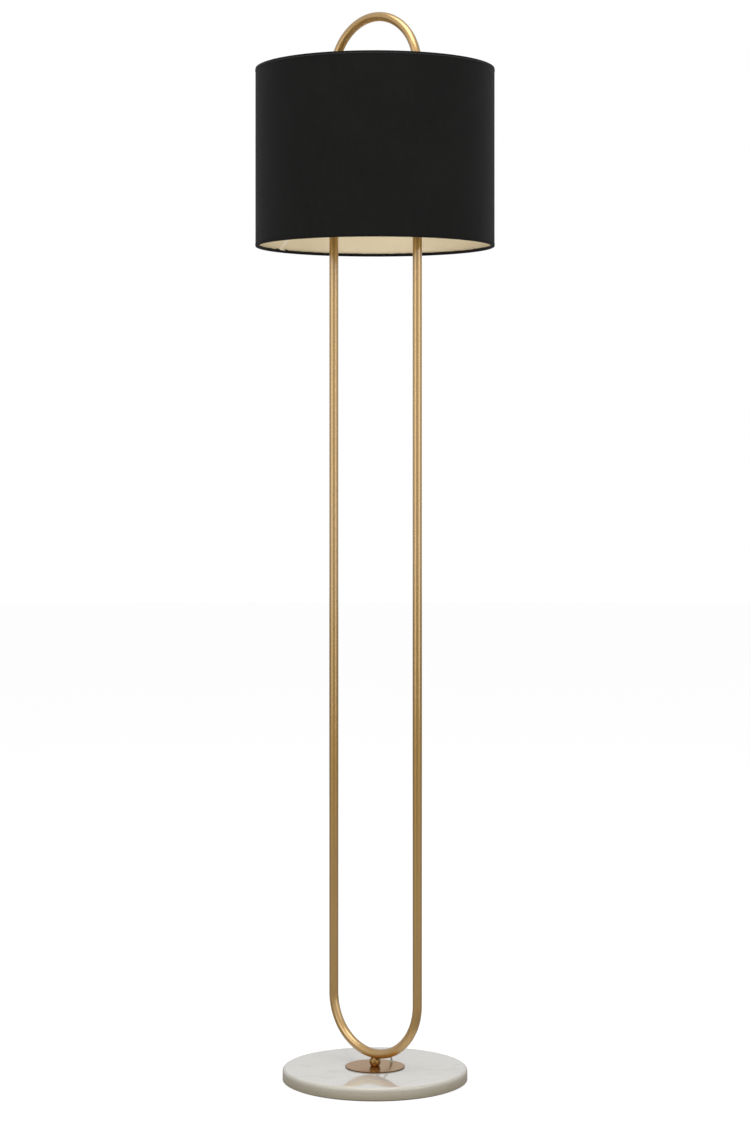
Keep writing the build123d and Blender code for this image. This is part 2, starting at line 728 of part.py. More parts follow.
with BuildPart() as shade_rings:
    with BuildSketch(Plane.XZ):
        ring_section(fitter_z, -1)
        ring_section(fitter_z + fitter_thick, 1)
    revolve(axis=Axis.Z)
    # Finger grips round each flange.
    with BuildSketch(axis_plane(fitter_z - ring_flange_thick)):
        with PolarLocations(ring_dia / 2 + ring_grip_out, ring_grips):
            Circle(ring_grip_r)
    extrude(amount=2 * ring_flange_thick + fitter_thick, mode=Mode.SUBTRACT)
finish(shade_rings, "shade_rings")

# ==== ROTARY SWITCH ===============================================================================

with BuildPart() as switch_body:
    with BuildSketch(axis_plane(holder_z + switch_body_foot)):
        Circle(switch_body_dia / 2)
        with Locations((0, -switch_face)):
            Rectangle(switch_body_dia, switch_body_dia, align=(Align.CENTER, Align.MAX), mode=Mode.SUBTRACT)
    extrude(amount=cap_height - switch_body_foot)
    with BuildSketch(front_plane(shaft_root - end_clear, switch_z)):
        Circle(shaft_dia / 2 + run_clear)
    extrude(amount=switch_body_dia, mode=Mode.SUBTRACT)
finish(switch_body, "switch_body")

with BuildPart() as switch_bush:
    with BuildSketch(front_plane(switch_face, switch_z)):
        Circle(bush_dia / 2)
        Circle(shaft_dia / 2 + run_clear, mode=Mode.SUBTRACT)
    extrude(amount=bush_end - switch_face)
finish(switch_bush, "switch_bush")

with BuildPart() as bush_nut:
    with BuildSketch(front_plane(holder_r + fit_clear, switch_z)):
        RegularPolygon(bush_nut_flats / 2, 6, major_radius=False)
        Circle(bush_dia / 2 + thread_clear, mode=Mode.SUBTRACT)
    extrude(amount=bush_nut_thick)
finish(bush_nut, "bush_nut")

with BuildPart() as switch_shaft:
    with BuildSketch(front_plane(shaft_root, switch_z)):
        Circle(shaft_dia / 2)
    extrude(amount=knob_start + knob_length - knob_end_wall - shaft_root)
    # A flat for the knob's grub face.
    with BuildSketch(front_plane(knob_start + flat_start, switch_z)):
        with Locations((0, shaft_dia / 2 - shaft_flat)):
            Rectangle(shaft_dia, shaft_dia, align=(Align.CENTER, Align.MIN))
    extrude(amount=knob_length, mode=Mode.SUBTRACT)
finish(switch_shaft, "switch_shaft")

with BuildPart() as switch_knob:
    with BuildSketch(front_plane(knob_start, switch_z)):
        Circle(knob_dia / 2)
        with PolarLocations(knob_dia / 2 + flute_out, knob_flutes):
            Circle(flute_r, mode=Mode.SUBTRACT)
    extrude(amount=knob_length)
    # The blind hole has a flat that matches the shaft's.
    with BuildSketch(front_plane(knob_start, switch_z)):
        Circle(shaft_dia / 2 + knob_fit)
    extrude(amount=flat_start, mode=Mode.SUBTRACT)
    with BuildSketch(front_plane(knob_start + flat_start, switch_z)):
        Circle(shaft_dia / 2 + knob_fit)
        with Locations((0, shaft_dia / 2 - shaft_flat + knob_fit)):
            Rectangle(shaft_dia * 2, shaft_dia, align=(Align.CENTER, Align.MIN), mode=Mode.SUBTRACT)
    extrude(amount=knob_length - flat_start - knob_end_wall, mode=Mode.SUBTRACT)
finish(switch_knob, "switch_knob")

# ==== BULB ========================================================================================

bulb_r = bulb_dia / 2
ball_z = bulb_z + bulb_length - bulb_r
shoulder = math.radians(bulb_shoulder_angle)


def bulb_outline(inset):
    """Half section of the bulb's envelope, drawn in by inset, closed along the axis."""
    neck_r = bulb_neck_dia / 2 - inset
    round_r = bulb_r - inset
    meet = (round_r * math.cos(shoulder), ball_z - round_r * math.sin(shoulder))
    neck_top = bulb_z + bulb_cap_top + neck_above_cap
    foot = bulb_z + bulb_cap_top - neck_in_cap
    Polyline((0, foot), (neck_r, foot), (neck_r, neck_top))
    Spline((neck_r, neck_top), meet, tangents=[(0, 1), (math.sin(shoulder), math.cos(shoulder))])
    CenterArc((0, ball_z), round_r, -bulb_shoulder_angle, 90 + bulb_shoulder_angle)
    Line((0, ball_z + round_r), (0, foot))


with BuildPart() as bulb_glass:
    with BuildSketch(Plane.XZ):
        with BuildLine():
            bulb_outline(0)
        make_face()
    revolve(axis=Axis.Z)
    with BuildSketch(Plane.XZ):
        with BuildLine():
            bulb_outline(bulb_glass_wall)
        make_face()
    revolve(axis=Axis.Z, mode=Mode.SUBTRACT)
finish(bulb_glass, "bulb_glass")

cap_in_r = bulb_neck_dia / 2 + cap_glue_gap
thread_floor_r = cap_in_r + cap_skin
ridge_root_r = cap_in_r + cap_skin / 3
ridge_width = 2 * ridge_rise + ridge_crest
ridge_count = 1 + int((bulb_cap_top - bulb_cap_foot - ridge_start - ridge_width) / thread_pitch)
with BuildPart() as bulb_cap:
    with BuildSketch(axis_plane(bulb_z + bulb_cap_foot)):
        Circle(thread_floor_r)
        Circle(cap_in_r, mode=Mode.SUBTRACT)
    extrude(amount=bulb_cap_top - bulb_cap_foot)
    with BuildSketch(Plane.XZ):
        for turn in range(ridge_count):
            ridge_z = bulb_z + bulb_cap_foot + ridge_start + turn * thread_pitch
            with BuildLine():
                Polyline(
                    (ridge_root_r, ridge_z),
                    (bulb_cap_dia / 2, ridge_z + ridge_rise),
                    (bulb_cap_dia / 2, ridge_z + ridge_rise + ridge_crest),
                    (ridge_root_r, ridge_z + ridge_width),
                    close=True,
                )
            make_face()
    revolve(axis=Axis.Z)
finish(bulb_cap, "bulb_cap")

with BuildPart() as bulb_tip:
    with BuildSketch(axis_plane(bulb_z)):
        Circle(bulb_tip_dia / 2)
    extrude(amount=bulb_tip_height)
    fillet(bulb_tip.edges().group_by(Axis.Z)[0], bulb_tip_height / 2)
finish(bulb_tip, "bulb_tip")

with BuildPart() as bulb_insulator:
    with BuildSketch(Plane.XZ):
        with BuildLine():
            Polyline(
                (0, bulb_z + bulb_tip_height),
                (bulb_tip_dia / 2, bulb_z + bulb_tip_height),
                (cap_in_r, bulb_z + bulb_cap_foot),
                (cap_in_r - fit_clear, bulb_z + bulb_cap_foot + glass_seat),
                (0, bulb_z + bulb_cap_foot + glass_seat),
                close=True,
            )
        make_face()
    revolve(axis=Axis.Z)
finish(bulb_insulator, "bulb_insulator")

stem_foot = bulb_z + bulb_cap_top - neck_in_cap
stem_foot_r = bulb_neck_dia / 2 - bulb_glass_wall - fit_clear
filament_low = ball_z - filament_drop
filament_high = filament_low + filament_length
wire_reach = filament_circle_dia / 2 - stem_r
with BuildPart() as bulb_stem:
    with BuildSketch(Plane.XZ):
        with BuildLine():
            Polyline(
                (0, stem_foot),
                (stem_foot_r, stem_foot),
                (stem_foot_r, stem_foot + stem_foot_thick),
                (stem_flare_r, stem_foot + stem_flare),
                (stem_r, filament_low - stem_drop),
                (stem_r, filament_high),
                (0, filament_high),
                close=True,
            )
        make_face()
    revolve(axis=Axis.Z)
finish(bulb_stem, "bulb_stem")

with BuildPart() as bulb_filaments:
    with BuildSketch(axis_plane(filament_low)):
        with PolarLocations(filament_circle_dia / 2, filament_count, start_angle=filament_first_angle):
            Circle(filament_dia / 2)
    extrude(amount=filament_length)
    # Fine support wires reach in to the stem at both ends.
    for z in (filament_low, filament_high - support_wire):
        with BuildSketch(axis_plane(z)):
            with PolarLocations(0, filament_count, start_angle=filament_first_angle):
                with Locations((stem_r + fit_clear, 0)):
                    Rectangle(wire_reach, support_wire, align=(Align.MIN, Align.CENTER))
        extrude(amount=support_wire)
finish(bulb_filaments, "bulb_filaments")

# ==== SHADE =======================================================================================

shade_r = shade_dia / 2
fabric_out_r = shade_r - hem_thick
lining_out_r = fabric_out_r - fabric_thick - skin_clear
lining_in_r = lining_out_r - lining_thick
wire_r = ring_wire_dia / 2
ring_r = lining_in_r - skin_clear - wire_r
bead_r = wire_r + skin_clear + hem_thick
skin_low = shade_bottom + hem_thick + skin_clear
skin_high = shade_top - hem_thick - skin_clear

with BuildPart() as shade_fabric:
    with BuildSketch(axis_plane(skin_low)):
        Circle(fabric_out_r - skin_clear)
        Circle(fabric_out_r - fabric_thick, mode=Mode.SUBTRACT)
    extrude(amount=skin_high - skin_low)
finish(shade_fabric, "shade_fabric")

with BuildPart() as shade_lining:
    with BuildSketch(axis_plane(skin_low)):
        Circle(lining_out_r)
        Circle(lining_in_r, mode=Mode.SUBTRACT)
    extrude(amount=skin_high - skin_low)
finish(shade_lining, "shade_lining")

seam_angle = math.degrees(seam_width / lining_in_r)
seam_low = shade_bottom + 2 * bead_r + seam_end_gap
seam_length = shade_height - 2 * (seam_low - shade_bottom)
with BuildPart() as lining_seam:
    with BuildSketch(radial_plane(180 - seam_angle / 2)):
        with Locations((lining_in_r - skin_clear, seam_low)):
            Rectangle(seam_thick, seam_length, align=(Align.MAX, Align.MIN))
    revolve(axis=Axis.Z, revolution_arc=seam_angle)
finish(lining_seam, "lining_seam")


def shade_hem(edge_z, way):
    """Half section of a rolled hem: a channel that boxes in the wall's edge and the ring wire."""
    inner_r = ring_r - bead_r
    toward_edge = Align.MIN if way > 0 else Align.MAX
    with Locations((inner_r, edge_z)):
        Rectangle(lining_in_r - skin_clear - inner_r, 2 * bead_r, align=(Align.MIN, toward_edge))
        Rectangle(shade_r - inner_r, hem_thick, align=(Align.MIN, toward_edge))
    with Locations((fabric_out_r, edge_z)):
        Rectangle(hem_thick, hem_height, align=(Align.MIN, toward_edge))
    with Locations((ring_r, edge_z + way * bead_r)):
        Rectangle(2 * (wire_r + skin_clear), 2 * (wire_r + skin_clear), mode=Mode.SUBTRACT)


# One spoke and the wider gap that it passes through, both drawn along +X.
spoke_start = fitter_bore_dia / 2 + spoke_weld_in
spoke_z = fitter_z + fitter_thick / 2
with BuildLine(Plane.XZ) as spoke_path:
    spoke_end = (ring_r, shade_top - bead_r)
    FilletPolyline((spoke_start, spoke_z), (spoke_flat, spoke_z), spoke_end, radius=spoke_bend)

with BuildPart() as one_spoke:
    with BuildSketch(Plane(origin=(spoke_start, 0, spoke_z), z_dir=(1, 0, 0))):
        Circle(spoke_wire_dia / 2)
    sweep(path=spoke_path.line)

with BuildPart() as spoke_gap:
    with BuildSketch(Plane(origin=(spoke_start, 0, spoke_z), z_dir=(1, 0, 0))):
        Circle(spoke_wire_dia / 2 + spoke_snip)
    sweep(path=spoke_path.line)

with BuildPart() as bottom_hem:
    with BuildSketch(Plane.XZ):
        shade_hem(shade_bottom, 1)
    revolve(axis=Axis.Z)
finish(bottom_hem, "bottom_hem")

with BuildPart() as top_hem:
    with BuildSketch(Plane.XZ):
        shade_hem(shade_top, -1)
    revolve(axis=Axis.Z)
    # The hem is snipped open where a spoke comes through to the ring.
    with PolarLocations(0, spoke_count, start_angle=spoke_first_angle):
        add(spoke_gap.part, mode=Mode.SUBTRACT)
finish(top_hem, "top_hem")

with BuildPart() as bottom_ring:
    with Locations((0, 0, shade_bottom + bead_r)):
        Torus(ring_r, wire_r)
finish(bottom_ring, "bottom_ring")

with BuildPart() as top_ring:
    with Locations((0, 0, shade_top - bead_r)):
        Torus(ring_r, wire_r)
finish(top_ring, "top_ring")

with BuildPart() as fitter_spider:
    with PolarLocations(0, spoke_count, start_angle=spoke_first_angle):
        add(one_spoke.part)
    # The spokes are flattened where they are welded under the rings' grip.
    with BuildSketch(axis_plane(fitter_z + fitter_thick)):
        Circle(ring_dia / 2 + spoke_weld_past)
    extrude(amount=spoke_wire_dia, mode=Mode.SUBTRACT)
    with BuildSketch(axis_plane(fitter_z)):
        Circle(ring_dia / 2 + spoke_weld_past)
    extrude(amount=-spoke_wire_dia, mode=Mode.SUBTRACT)
    with BuildSketch(axis_plane(fitter_z)):
        Circle(fitter_dia / 2)
        Circle(fitter_bore_dia / 2, mode=Mode.SUBTRACT)
    extrude(amount=fitter_thick)
    with Locations((0, 0, shade_top - bead_r)):
        Torus(ring_r, wire_r, mode=Mode.SUBTRACT)
finish(fitter_spider, "fitter_spider")
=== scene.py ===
# %% [markdown]
# A floor lamp: one closed loop of satin gold tube stands on a small ball, a round plate and a
# marble disc, and carries a black drum shade round its upper end.  The CAD model comes in first
# and is never moved.  Every place below is read from it, so each new piece lands where the real
# one sits.
# %% Load the CAD model
import math
import bmesh
import bpy
from mathutils import Matrix, Vector, noise


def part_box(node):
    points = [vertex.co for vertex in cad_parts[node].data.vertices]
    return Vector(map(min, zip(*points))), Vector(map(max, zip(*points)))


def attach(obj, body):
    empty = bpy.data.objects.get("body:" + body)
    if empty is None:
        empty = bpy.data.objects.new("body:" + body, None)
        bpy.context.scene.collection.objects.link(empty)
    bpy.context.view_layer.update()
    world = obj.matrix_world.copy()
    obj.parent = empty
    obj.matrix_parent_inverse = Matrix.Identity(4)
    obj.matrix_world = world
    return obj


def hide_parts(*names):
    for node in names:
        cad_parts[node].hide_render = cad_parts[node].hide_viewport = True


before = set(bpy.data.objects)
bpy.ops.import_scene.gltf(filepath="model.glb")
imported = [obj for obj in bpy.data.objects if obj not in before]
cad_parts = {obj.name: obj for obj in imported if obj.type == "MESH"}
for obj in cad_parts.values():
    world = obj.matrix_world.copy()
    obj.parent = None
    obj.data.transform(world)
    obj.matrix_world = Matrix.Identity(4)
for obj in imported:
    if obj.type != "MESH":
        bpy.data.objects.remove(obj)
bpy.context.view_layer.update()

# %% [markdown]
# The main sizes are read off the boxes of the CAD nodes.  A drum or a tube is as wide as its box,
# so half a box gives a radius, and the boxes' ends give heights.
# %% Read the sizes
mm = 0.001
arch_low, arch_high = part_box("top_arch")
loop_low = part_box("loop_tube")[0]
tube_r = arch_high.y
leg_x = arch_high.x - tube_r
loop_top = arch_high.z
arch_joint = arch_low.z
bend_low = loop_low.z + tube_r + leg_x
bend_high = loop_top - tube_r - leg_x
tube_wall = 1.2 * mm
shade_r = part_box("top_hem")[1].x
shade_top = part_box("top_hem")[1].z
shade_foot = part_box("bottom_hem")[0].z
ring_low, ring_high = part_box("top_ring")
wire_r = (ring_high.z - ring_low.z) / 2
ring_r = ring_high.x - wire_r
print("tube", round(2 * tube_r / mm, 1), "mm, shade", round(2 * shade_r / mm, 1), "mm across")

# %% [markdown]
# A lamp this tall looks natural through a long lens from a few metres away.  The camera looks
# level, so the legs stay upright, and a small shift moves the frame down over the whole lamp.
# %% Place the camera
eye_turn = math.radians(40.4)
eye_distance = 3.842
eye_height = 0.8904
toward_eye = Vector((math.sin(eye_turn), -math.cos(eye_turn), 0))
camera_data = bpy.data.cameras.new("camera")
camera_data.sensor_width = 36.0
camera_data.lens = 84.15
camera_data.shift_y = -0.0817
camera_data.clip_end = 100.0
camera = bpy.data.objects.new("camera", camera_data)
camera.location = toward_eye * eye_distance + Vector((0, 0, eye_height))
camera.rotation_euler = (math.pi / 2, 0, eye_turn)
bpy.context.scene.collection.objects.link(camera)
bpy.context.scene.camera = camera
bpy.context.scene.view_settings.view_transform = "Standard"
print("camera at", [round(v, 3) for v in camera.location])

# %% [markdown]
# A finish is a tree of small nodes, and five helpers keep each tree short.  `put` adds a node and
# fills its sockets: a socket that is given another node's output is wired to it, and anything else
# is set as its value.  `sums` does one step of arithmetic, `blend` mixes two colours, `spread`
# stretches a value to a new range, and `rgb` writes a colour.
# %% Node helpers
def put(tree, kind, sockets=None, **settings):
    """Add a node, set its settings, and fill or wire its sockets."""
    node = tree.nodes.new(kind)
    for name, value in settings.items():
        setattr(node, name, value)
    for name, value in (sockets or {}).items():
        if isinstance(value, bpy.types.NodeSocket):
            tree.links.new(value, node.inputs[name])
        else:
            node.inputs[name].default_value = value
    return node


def sums(tree, operation, a, b=0.0, c=0.0):
    """One Math node; gives its output."""
    return put(tree, "ShaderNodeMath", {0: a, 1: b, 2: c}, operation=operation).outputs[0]


def blend(tree, mask, a, b):
    """Colour a where the mask is 0 and colour b where it is 1."""
    mixer = put(tree, "ShaderNodeMix", {0: mask, 6: a, 7: b}, data_type="RGBA")
    return mixer.outputs[2]


def spread(tree, value, low, high, to_low=0.0, to_high=1.0):
    """Stretch a value from one range to another, held inside the second."""
    ends = {0: value, 1: low, 2: high, 3: to_low, 4: to_high}
    return put(tree, "ShaderNodeMapRange", ends).outputs[0]


def rgb(red, green, blue):
    """A colour as the sockets want it, with full alpha."""
    return (red, green, blue, 1.0)


print("node helpers: put, sums, blend, spread, rgb")

# %% [markdown]
# Nearly every pattern starts from a place on the piece, stretches it and reads noise there.  A
# height made this way then tilts the surface, as a real grain does.  Each of those steps is one
# helper, so that a pattern reads as its own few steps.
# %% Pattern helpers
def own_place(tree):
    """The place in the object's own space, in metres."""
    return put(tree, "ShaderNodeTexCoord").outputs["Object"]


def stretched(tree, place, x_scale, y_scale, z_scale):
    """A place with each of its directions scaled."""
    sockets = {0: place, 1: (x_scale, y_scale, z_scale)}
    return put(tree, "ShaderNodeVectorMath", sockets, operation="MULTIPLY").outputs[0]


def noise_at(tree, place, size, detail):
    """Noise read at a place; gives its value."""
    sockets = {"Vector": place, "Scale": size, "Detail": detail}
    return put(tree, "ShaderNodeTexNoise", sockets).outputs[0]


def tilted(tree, height, depth, rise):
    """The normal that a height gives; rise is the height's full travel in metres."""
    sockets = {"Height": height, "Strength": depth, "Distance": rise}
    return put(tree, "ShaderNodeBump", sockets).outputs[0]


print("pattern helpers: own_place, stretched, noise_at, tilted")

# %% [markdown]
# A pattern that several finishes share is a node group: a small tree with named inputs and outputs
# of its own.  A group here gives out only masks and normals, and the shader stays in the material,
# so each finish can be read in one place.
# %% Group helpers
def new_group(name, inputs, outputs):
    """An empty node group with named sockets; gives the group and its two end nodes."""
    group = bpy.data.node_groups.new(name, "ShaderNodeTree")
    for label, kind, value in inputs:
        socket = group.interface.new_socket(label, in_out="INPUT", socket_type="NodeSocket" + kind)
        if value is not None:
            socket.default_value = value
    for label, kind in outputs:
        group.interface.new_socket(label, in_out="OUTPUT", socket_type="NodeSocket" + kind)
    return group, put(group, "NodeGroupInput").outputs, put(group, "NodeGroupOutput").inputs


def use(tree, group, sockets):
    """Place a node group in a tree and fill or wire its sockets."""
    return put(tree, "ShaderNodeGroup", sockets, node_tree=group)


print("group helpers: new_group, use")

# %% [markdown]
# Nothing real is one even colour.  This group gives a slow cloudy mask from two sizes of noise in
# the object's own space, and nearly every finish below uses it to shift its colour or roughness
# a little from place to place.
# %% Group: cloudy tone
cloudy_tone, g_in, g_out = new_group(
    "cloudy tone",
    [("Size", "Float", 8.0), ("Contrast", "Float", 1.0)],
    [("Mask", "Float")],
)
fine_ratio = 6.3
fine_share = 0.3
cloud_reach = 0.22
place = own_place(cloudy_tone)
wide = noise_at(cloudy_tone, place, g_in["Size"], 3.0)
fine = noise_at(cloudy_tone, place, sums(cloudy_tone, "MULTIPLY", g_in["Size"], fine_ratio), 2.0)
fine_part = sums(cloudy_tone, "MULTIPLY", fine, fine_share)
both = sums(cloudy_tone, "MULTIPLY_ADD", wide, 1 - fine_share, fine_part)
off_middle = sums(cloudy_tone, "SUBTRACT", both, 0.5)
swing = sums(cloudy_tone, "MULTIPLY", off_middle, g_in["Contrast"])
cloudy_tone.links.new(spread(cloudy_tone, swing, -cloud_reach, cloud_reach), g_out["Mask"])
print("cloudy tone:", len(cloudy_tone.nodes), "nodes")

# %% [markdown]
# Satin metal is brushed or polished one way.  Stretched noise gives long fine lines, which tilt
# the surface a little and roughen it in streaks.  The material says which way they run through
# the vector that it sends in.
# %% Group: polishing lines
polish_lines, g_in, g_out = new_group(
    "polishing lines",
    [("Place", "Vector", None), ("Depth", "Float", 0.1)],
    [("Mask", "Float"), ("Normal", "Vector")],
)
line_rise = 0.02 * mm
lines = noise_at(polish_lines, g_in["Place"], 1.0, 4.0)
polish_lines.links.new(spread(polish_lines, lines, 0.3, 0.7), g_out["Mask"])
polish_lines.links.new(tilted(polish_lines, lines, g_in["Depth"], line_rise), g_out["Normal"])
print("polishing lines:", len(polish_lines.nodes), "nodes")

# %% [markdown]
# Moulded plastic, fired clay and felt have no direction, only a fine even tooth.  One noise at the
# size of the tooth does for all of them.
# %% Group: fine tooth
fine_tooth, g_in, g_out = new_group(
    "fine tooth",
    [("Grain", "Float", 2500.0), ("Depth", "Float", 0.2), ("Height", "Float", 0.05 * mm)],
    [("Mask", "Float"), ("Normal", "Vector")],
)
tooth = noise_at(fine_tooth, own_place(fine_tooth), g_in["Grain"], 2.0)
fine_tooth.links.new(spread(fine_tooth, tooth, 0.3, 0.7), g_out["Mask"])
fine_tooth.links.new(tilted(fine_tooth, tooth, g_in["Depth"], g_in["Height"]), g_out["Normal"])
print("fine tooth:", len(fine_tooth.nodes), "nodes")

# %% [markdown]
# The shade's cloth is a plain weave of uneven yarn.  Two crossing sine waves make the threads, a
# product of their signs says which thread is on top, and long stretched noise makes the slubs:
# thick places in the yarn that catch the light as faint upright streaks.
# %% Group: slubbed weave
slub_weave, g_in, g_out = new_group(
    "slubbed weave",
    [("Place", "Vector", None), ("Pitch", "Float", 0.6 * mm), ("Depth", "Float", 0.5)],
    [("Threads", "Float"), ("Slubs", "Float"), ("Normal", "Vector")],
)
thread_rise = 0.12 * mm
slub_fine = 900.0
slub_long = (28.0, 22.0)
warp_share = 0.65
across = put(slub_weave, "ShaderNodeSeparateXYZ", {0: g_in["Place"]}).outputs
turns = sums(slub_weave, "DIVIDE", math.pi, g_in["Pitch"])
warp = sums(slub_weave, "SINE", sums(slub_weave, "MULTIPLY", across[0], turns))
weft = sums(slub_weave, "SINE", sums(slub_weave, "MULTIPLY", across[1], turns))
over = sums(slub_weave, "GREATER_THAN", sums(slub_weave, "MULTIPLY", warp, weft), 0.0)
under = sums(slub_weave, "SUBTRACT", 1.0, over)
warp_high = sums(slub_weave, "MULTIPLY", sums(slub_weave, "ABSOLUTE", warp), over)
weft_high = sums(slub_weave, "MULTIPLY", sums(slub_weave, "ABSOLUTE", weft), under)
threads = sums(slub_weave, "ADD", warp_high, weft_high)
upright = stretched(slub_weave, g_in["Place"], slub_fine, slub_long[0], 1.0)
level = stretched(slub_weave, g_in["Place"], slub_long[1], slub_fine, 1.0)
weft_part = sums(slub_weave, "MULTIPLY", noise_at(slub_weave, level, 1.0, 2.0), 1 - warp_share)
warp_slubs = noise_at(slub_weave, upright, 1.0, 2.0)
slub_sum = sums(slub_weave, "MULTIPLY_ADD", warp_slubs, warp_share, weft_part)
slubs = spread(slub_weave, slub_sum, 0.40, 0.64)
height = sums(slub_weave, "MULTIPLY_ADD", slubs, 0.8, threads)
slub_weave.links.new(threads, g_out["Threads"])
slub_weave.links.new(slubs, g_out["Slubs"])
slub_weave.links.new(tilted(slub_weave, height, g_in["Depth"], thread_rise), g_out["Normal"])
print("slubbed weave:", len(slub_weave.nodes), "nodes; groups:", len(bpy.data.node_groups))

# %% [markdown]
# Every finish starts the same way: a material, its tree, and one Principled shader whose plain
# numbers are set on its own sockets.  `wire` then joins what changes over the surface.
# %% Material helpers
def new_finish(name, **plain):
    """A material with one Principled shader; plain values are set on its sockets."""
    material = bpy.data.materials.new(name)
    material.use_nodes = True
    tree = material.node_tree
    shader = tree.nodes["Principled BSDF"]
    for label, value in plain.items():
        shader.inputs[label.replace("_", " ").title().replace("Ior", "IOR")].default_value = value
    return material, tree, shader


def wire(tree, shader, **outputs):
    """Wire node outputs into the shader's sockets."""
    for label, socket in outputs.items():
        tree.links.new(socket, shader.inputs[label.replace("_", " ").title()])


def along_uv(tree, across_scale, along_scale):
    """The UV place in metres, stretched by two scales."""
    place = put(tree, "ShaderNodeTexCoord").outputs["UV"]
    return stretched(tree, place, across_scale, along_scale, 1.0)


def in_space(tree, x_scale, y_scale, z_scale):
    """The place in the object's space, stretched by three scales."""
    return stretched(tree, own_place(tree), x_scale, y_scale, z_scale)


print("material helpers: new_finish, wire, along_uv, in_space")

# %% [markdown]
# The tube is steel plated and dyed to an antique gold, then lacquered.  Its colour drifts between
# a yellow and a browner gold, the polishing lines run along the tube, and the lacquer is a coat
# over the metal.  Tubes made here have UVs in metres; CAD parts use their own space instead.
# %% Finish: antique gold
def antique_gold(name, lines_at):
    """Satin gold plate whose polishing lines follow the given place."""
    material, tree, shader = new_finish(
        name, metallic=1.0, coat_weight=1.0, coat_roughness=0.12, coat_ior=1.85
    )
    drift = use(tree, cloudy_tone, {"Size": 9.0, "Contrast": 1.0}).outputs["Mask"]
    lines = use(tree, polish_lines, {"Place": lines_at(tree), "Depth": 0.04})
    tone = blend(tree, drift, rgb(0.470, 0.282, 0.078), rgb(0.525, 0.322, 0.100))
    in_line = sums(tree, "MULTIPLY", lines.outputs["Mask"], 0.18)
    tone = blend(tree, in_line, tone, rgb(0.43, 0.24, 0.064))
    rough = sums(tree, "MULTIPLY_ADD", lines.outputs["Mask"], 0.05, 0.33)
    wire(tree, shader, base_color=tone, roughness=rough, normal=lines.outputs["Normal"])
    return material


tube_gold = antique_gold("antique gold tube", lambda tree: along_uv(tree, 1100.0, 3.0))
part_gold = antique_gold("antique gold parts", lambda tree: in_space(tree, 6.0, 1200.0, 1200.0))
print("gold finishes:", tube_gold.name, "and", part_gold.name)

# %% [markdown]
# The plate and the ball are polished brass under the same dye, so they mirror what stands on
# them.  They are browner than the tube, with turning marks in rings round the axis.
# %% Finish: polished brass
def from_axis(tree):
    """The distance from the lamp's axis."""
    flat = stretched(tree, own_place(tree), 1.0, 1.0, 0.0)
    return put(tree, "ShaderNodeVectorMath", {0: flat}, operation="LENGTH").outputs["Value"]


def height_of(tree):
    """The height above the floor."""
    return put(tree, "ShaderNodeSeparateXYZ", {0: own_place(tree)}).outputs[2]


def ring_place(tree, scale):
    """A place that changes only with the distance from the axis and the height."""
    wide = sums(tree, "MULTIPLY", sums(tree, "ADD", from_axis(tree), height_of(tree)), scale)
    return put(tree, "ShaderNodeCombineXYZ", {0: wide}).outputs[0]


def turned_brass(name, dark, light, rough, rim=None):
    """Polished brass with faint turning rings; past the radius rim, a dark band: a browned cut edge and
    painted shade.
    """
    material, tree, shader = new_finish(name, metallic=1.0)
    drift = use(tree, cloudy_tone, {"Size": 28.0, "Contrast": 0.9}).outputs["Mask"]
    lines = use(tree, polish_lines, {"Place": ring_place(tree, 2500.0), "Depth": 0.05})
    tone = blend(tree, drift, dark, light)
    uneven = sums(tree, "MULTIPLY_ADD", lines.outputs["Mask"], 0.03, rough)
    if rim:
        # painted shade: the outer band is darkened deep brown, partly a browned cut edge, partly gap shade
        edge = spread(tree, from_axis(tree), rim, rim + 0.4 * mm)
        tone = blend(tree, edge, tone, rgb(0.09, 0.055, 0.028))
        uneven = sums(tree, "MULTIPLY_ADD", edge, 0.25, uneven)
    wire(tree, shader, base_color=tone, roughness=uneven, normal=lines.outputs["Normal"])
    return material


rim_width = 0.7 * mm
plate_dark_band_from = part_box("base_plate")[1].x - rim_width
plate_brass = turned_brass(
    "polished plate brass", rgb(0.52, 0.295, 0.110), rgb(0.57, 0.335, 0.135), 0.24, plate_dark_band_from
)
ball_brass = turned_brass(
    "polished ball brass", rgb(0.245, 0.145, 0.052), rgb(0.285, 0.169, 0.065), 0.30
)
print("brass finishes:", plate_brass.name, "and", ball_brass.name)

# %% [markdown]
# The marble is a pale warm grey stone with soft clouds and a few thin veins.  A vein is where a
# bent noise crosses its middle value, so taking the distance from that value draws thin winding
# lines.  A polish is nearly a mirror, so the roughness is low and the coat clear.
# %% Finish: marble
marble_finish, tree, shader = new_finish(
    "polished marble", coat_weight=1.0, coat_roughness=0.03, ior=1.5
)
place = own_place(tree)
bend = put(tree, "ShaderNodeTexNoise", {"Vector": place, "Scale": 9.0, "Detail": 4.0})
push = put(tree, "ShaderNodeVectorMath", {0: bend.outputs["Color"], 3: 0.10}, operation="SCALE")
bent = put(tree, "ShaderNodeVectorMath", {0: place, 1: push.outputs[0]}, operation="ADD").outputs[0]


def vein(size, width):
    """A mask of thin winding lines."""
    off_middle = sums(tree, "SUBTRACT", noise_at(tree, bent, size, 5.0), 0.5)
    return spread(tree, sums(tree, "ABSOLUTE", off_middle), 0.0, width, 1.0, 0.0)


clouds = use(tree, cloudy_tone, {"Size": 7.0, "Contrast": 1.2}).outputs["Mask"]
stone = blend(tree, clouds, rgb(0.775, 0.752, 0.692), rgb(0.84, 0.815, 0.755))
wide_vein = sums(tree, "MULTIPLY", vein(size=5.0, width=0.022), 0.15)
stone = blend(tree, wide_vein, stone, rgb(0.46, 0.44, 0.41))
thin_vein = sums(tree, "MULTIPLY", vein(size=13.0, width=0.012), 0.10)
stone = blend(tree, thin_vein, stone, rgb(0.50, 0.45, 0.38))
print("marble so far: clouds and two sizes of vein,", len(tree.nodes), "nodes")
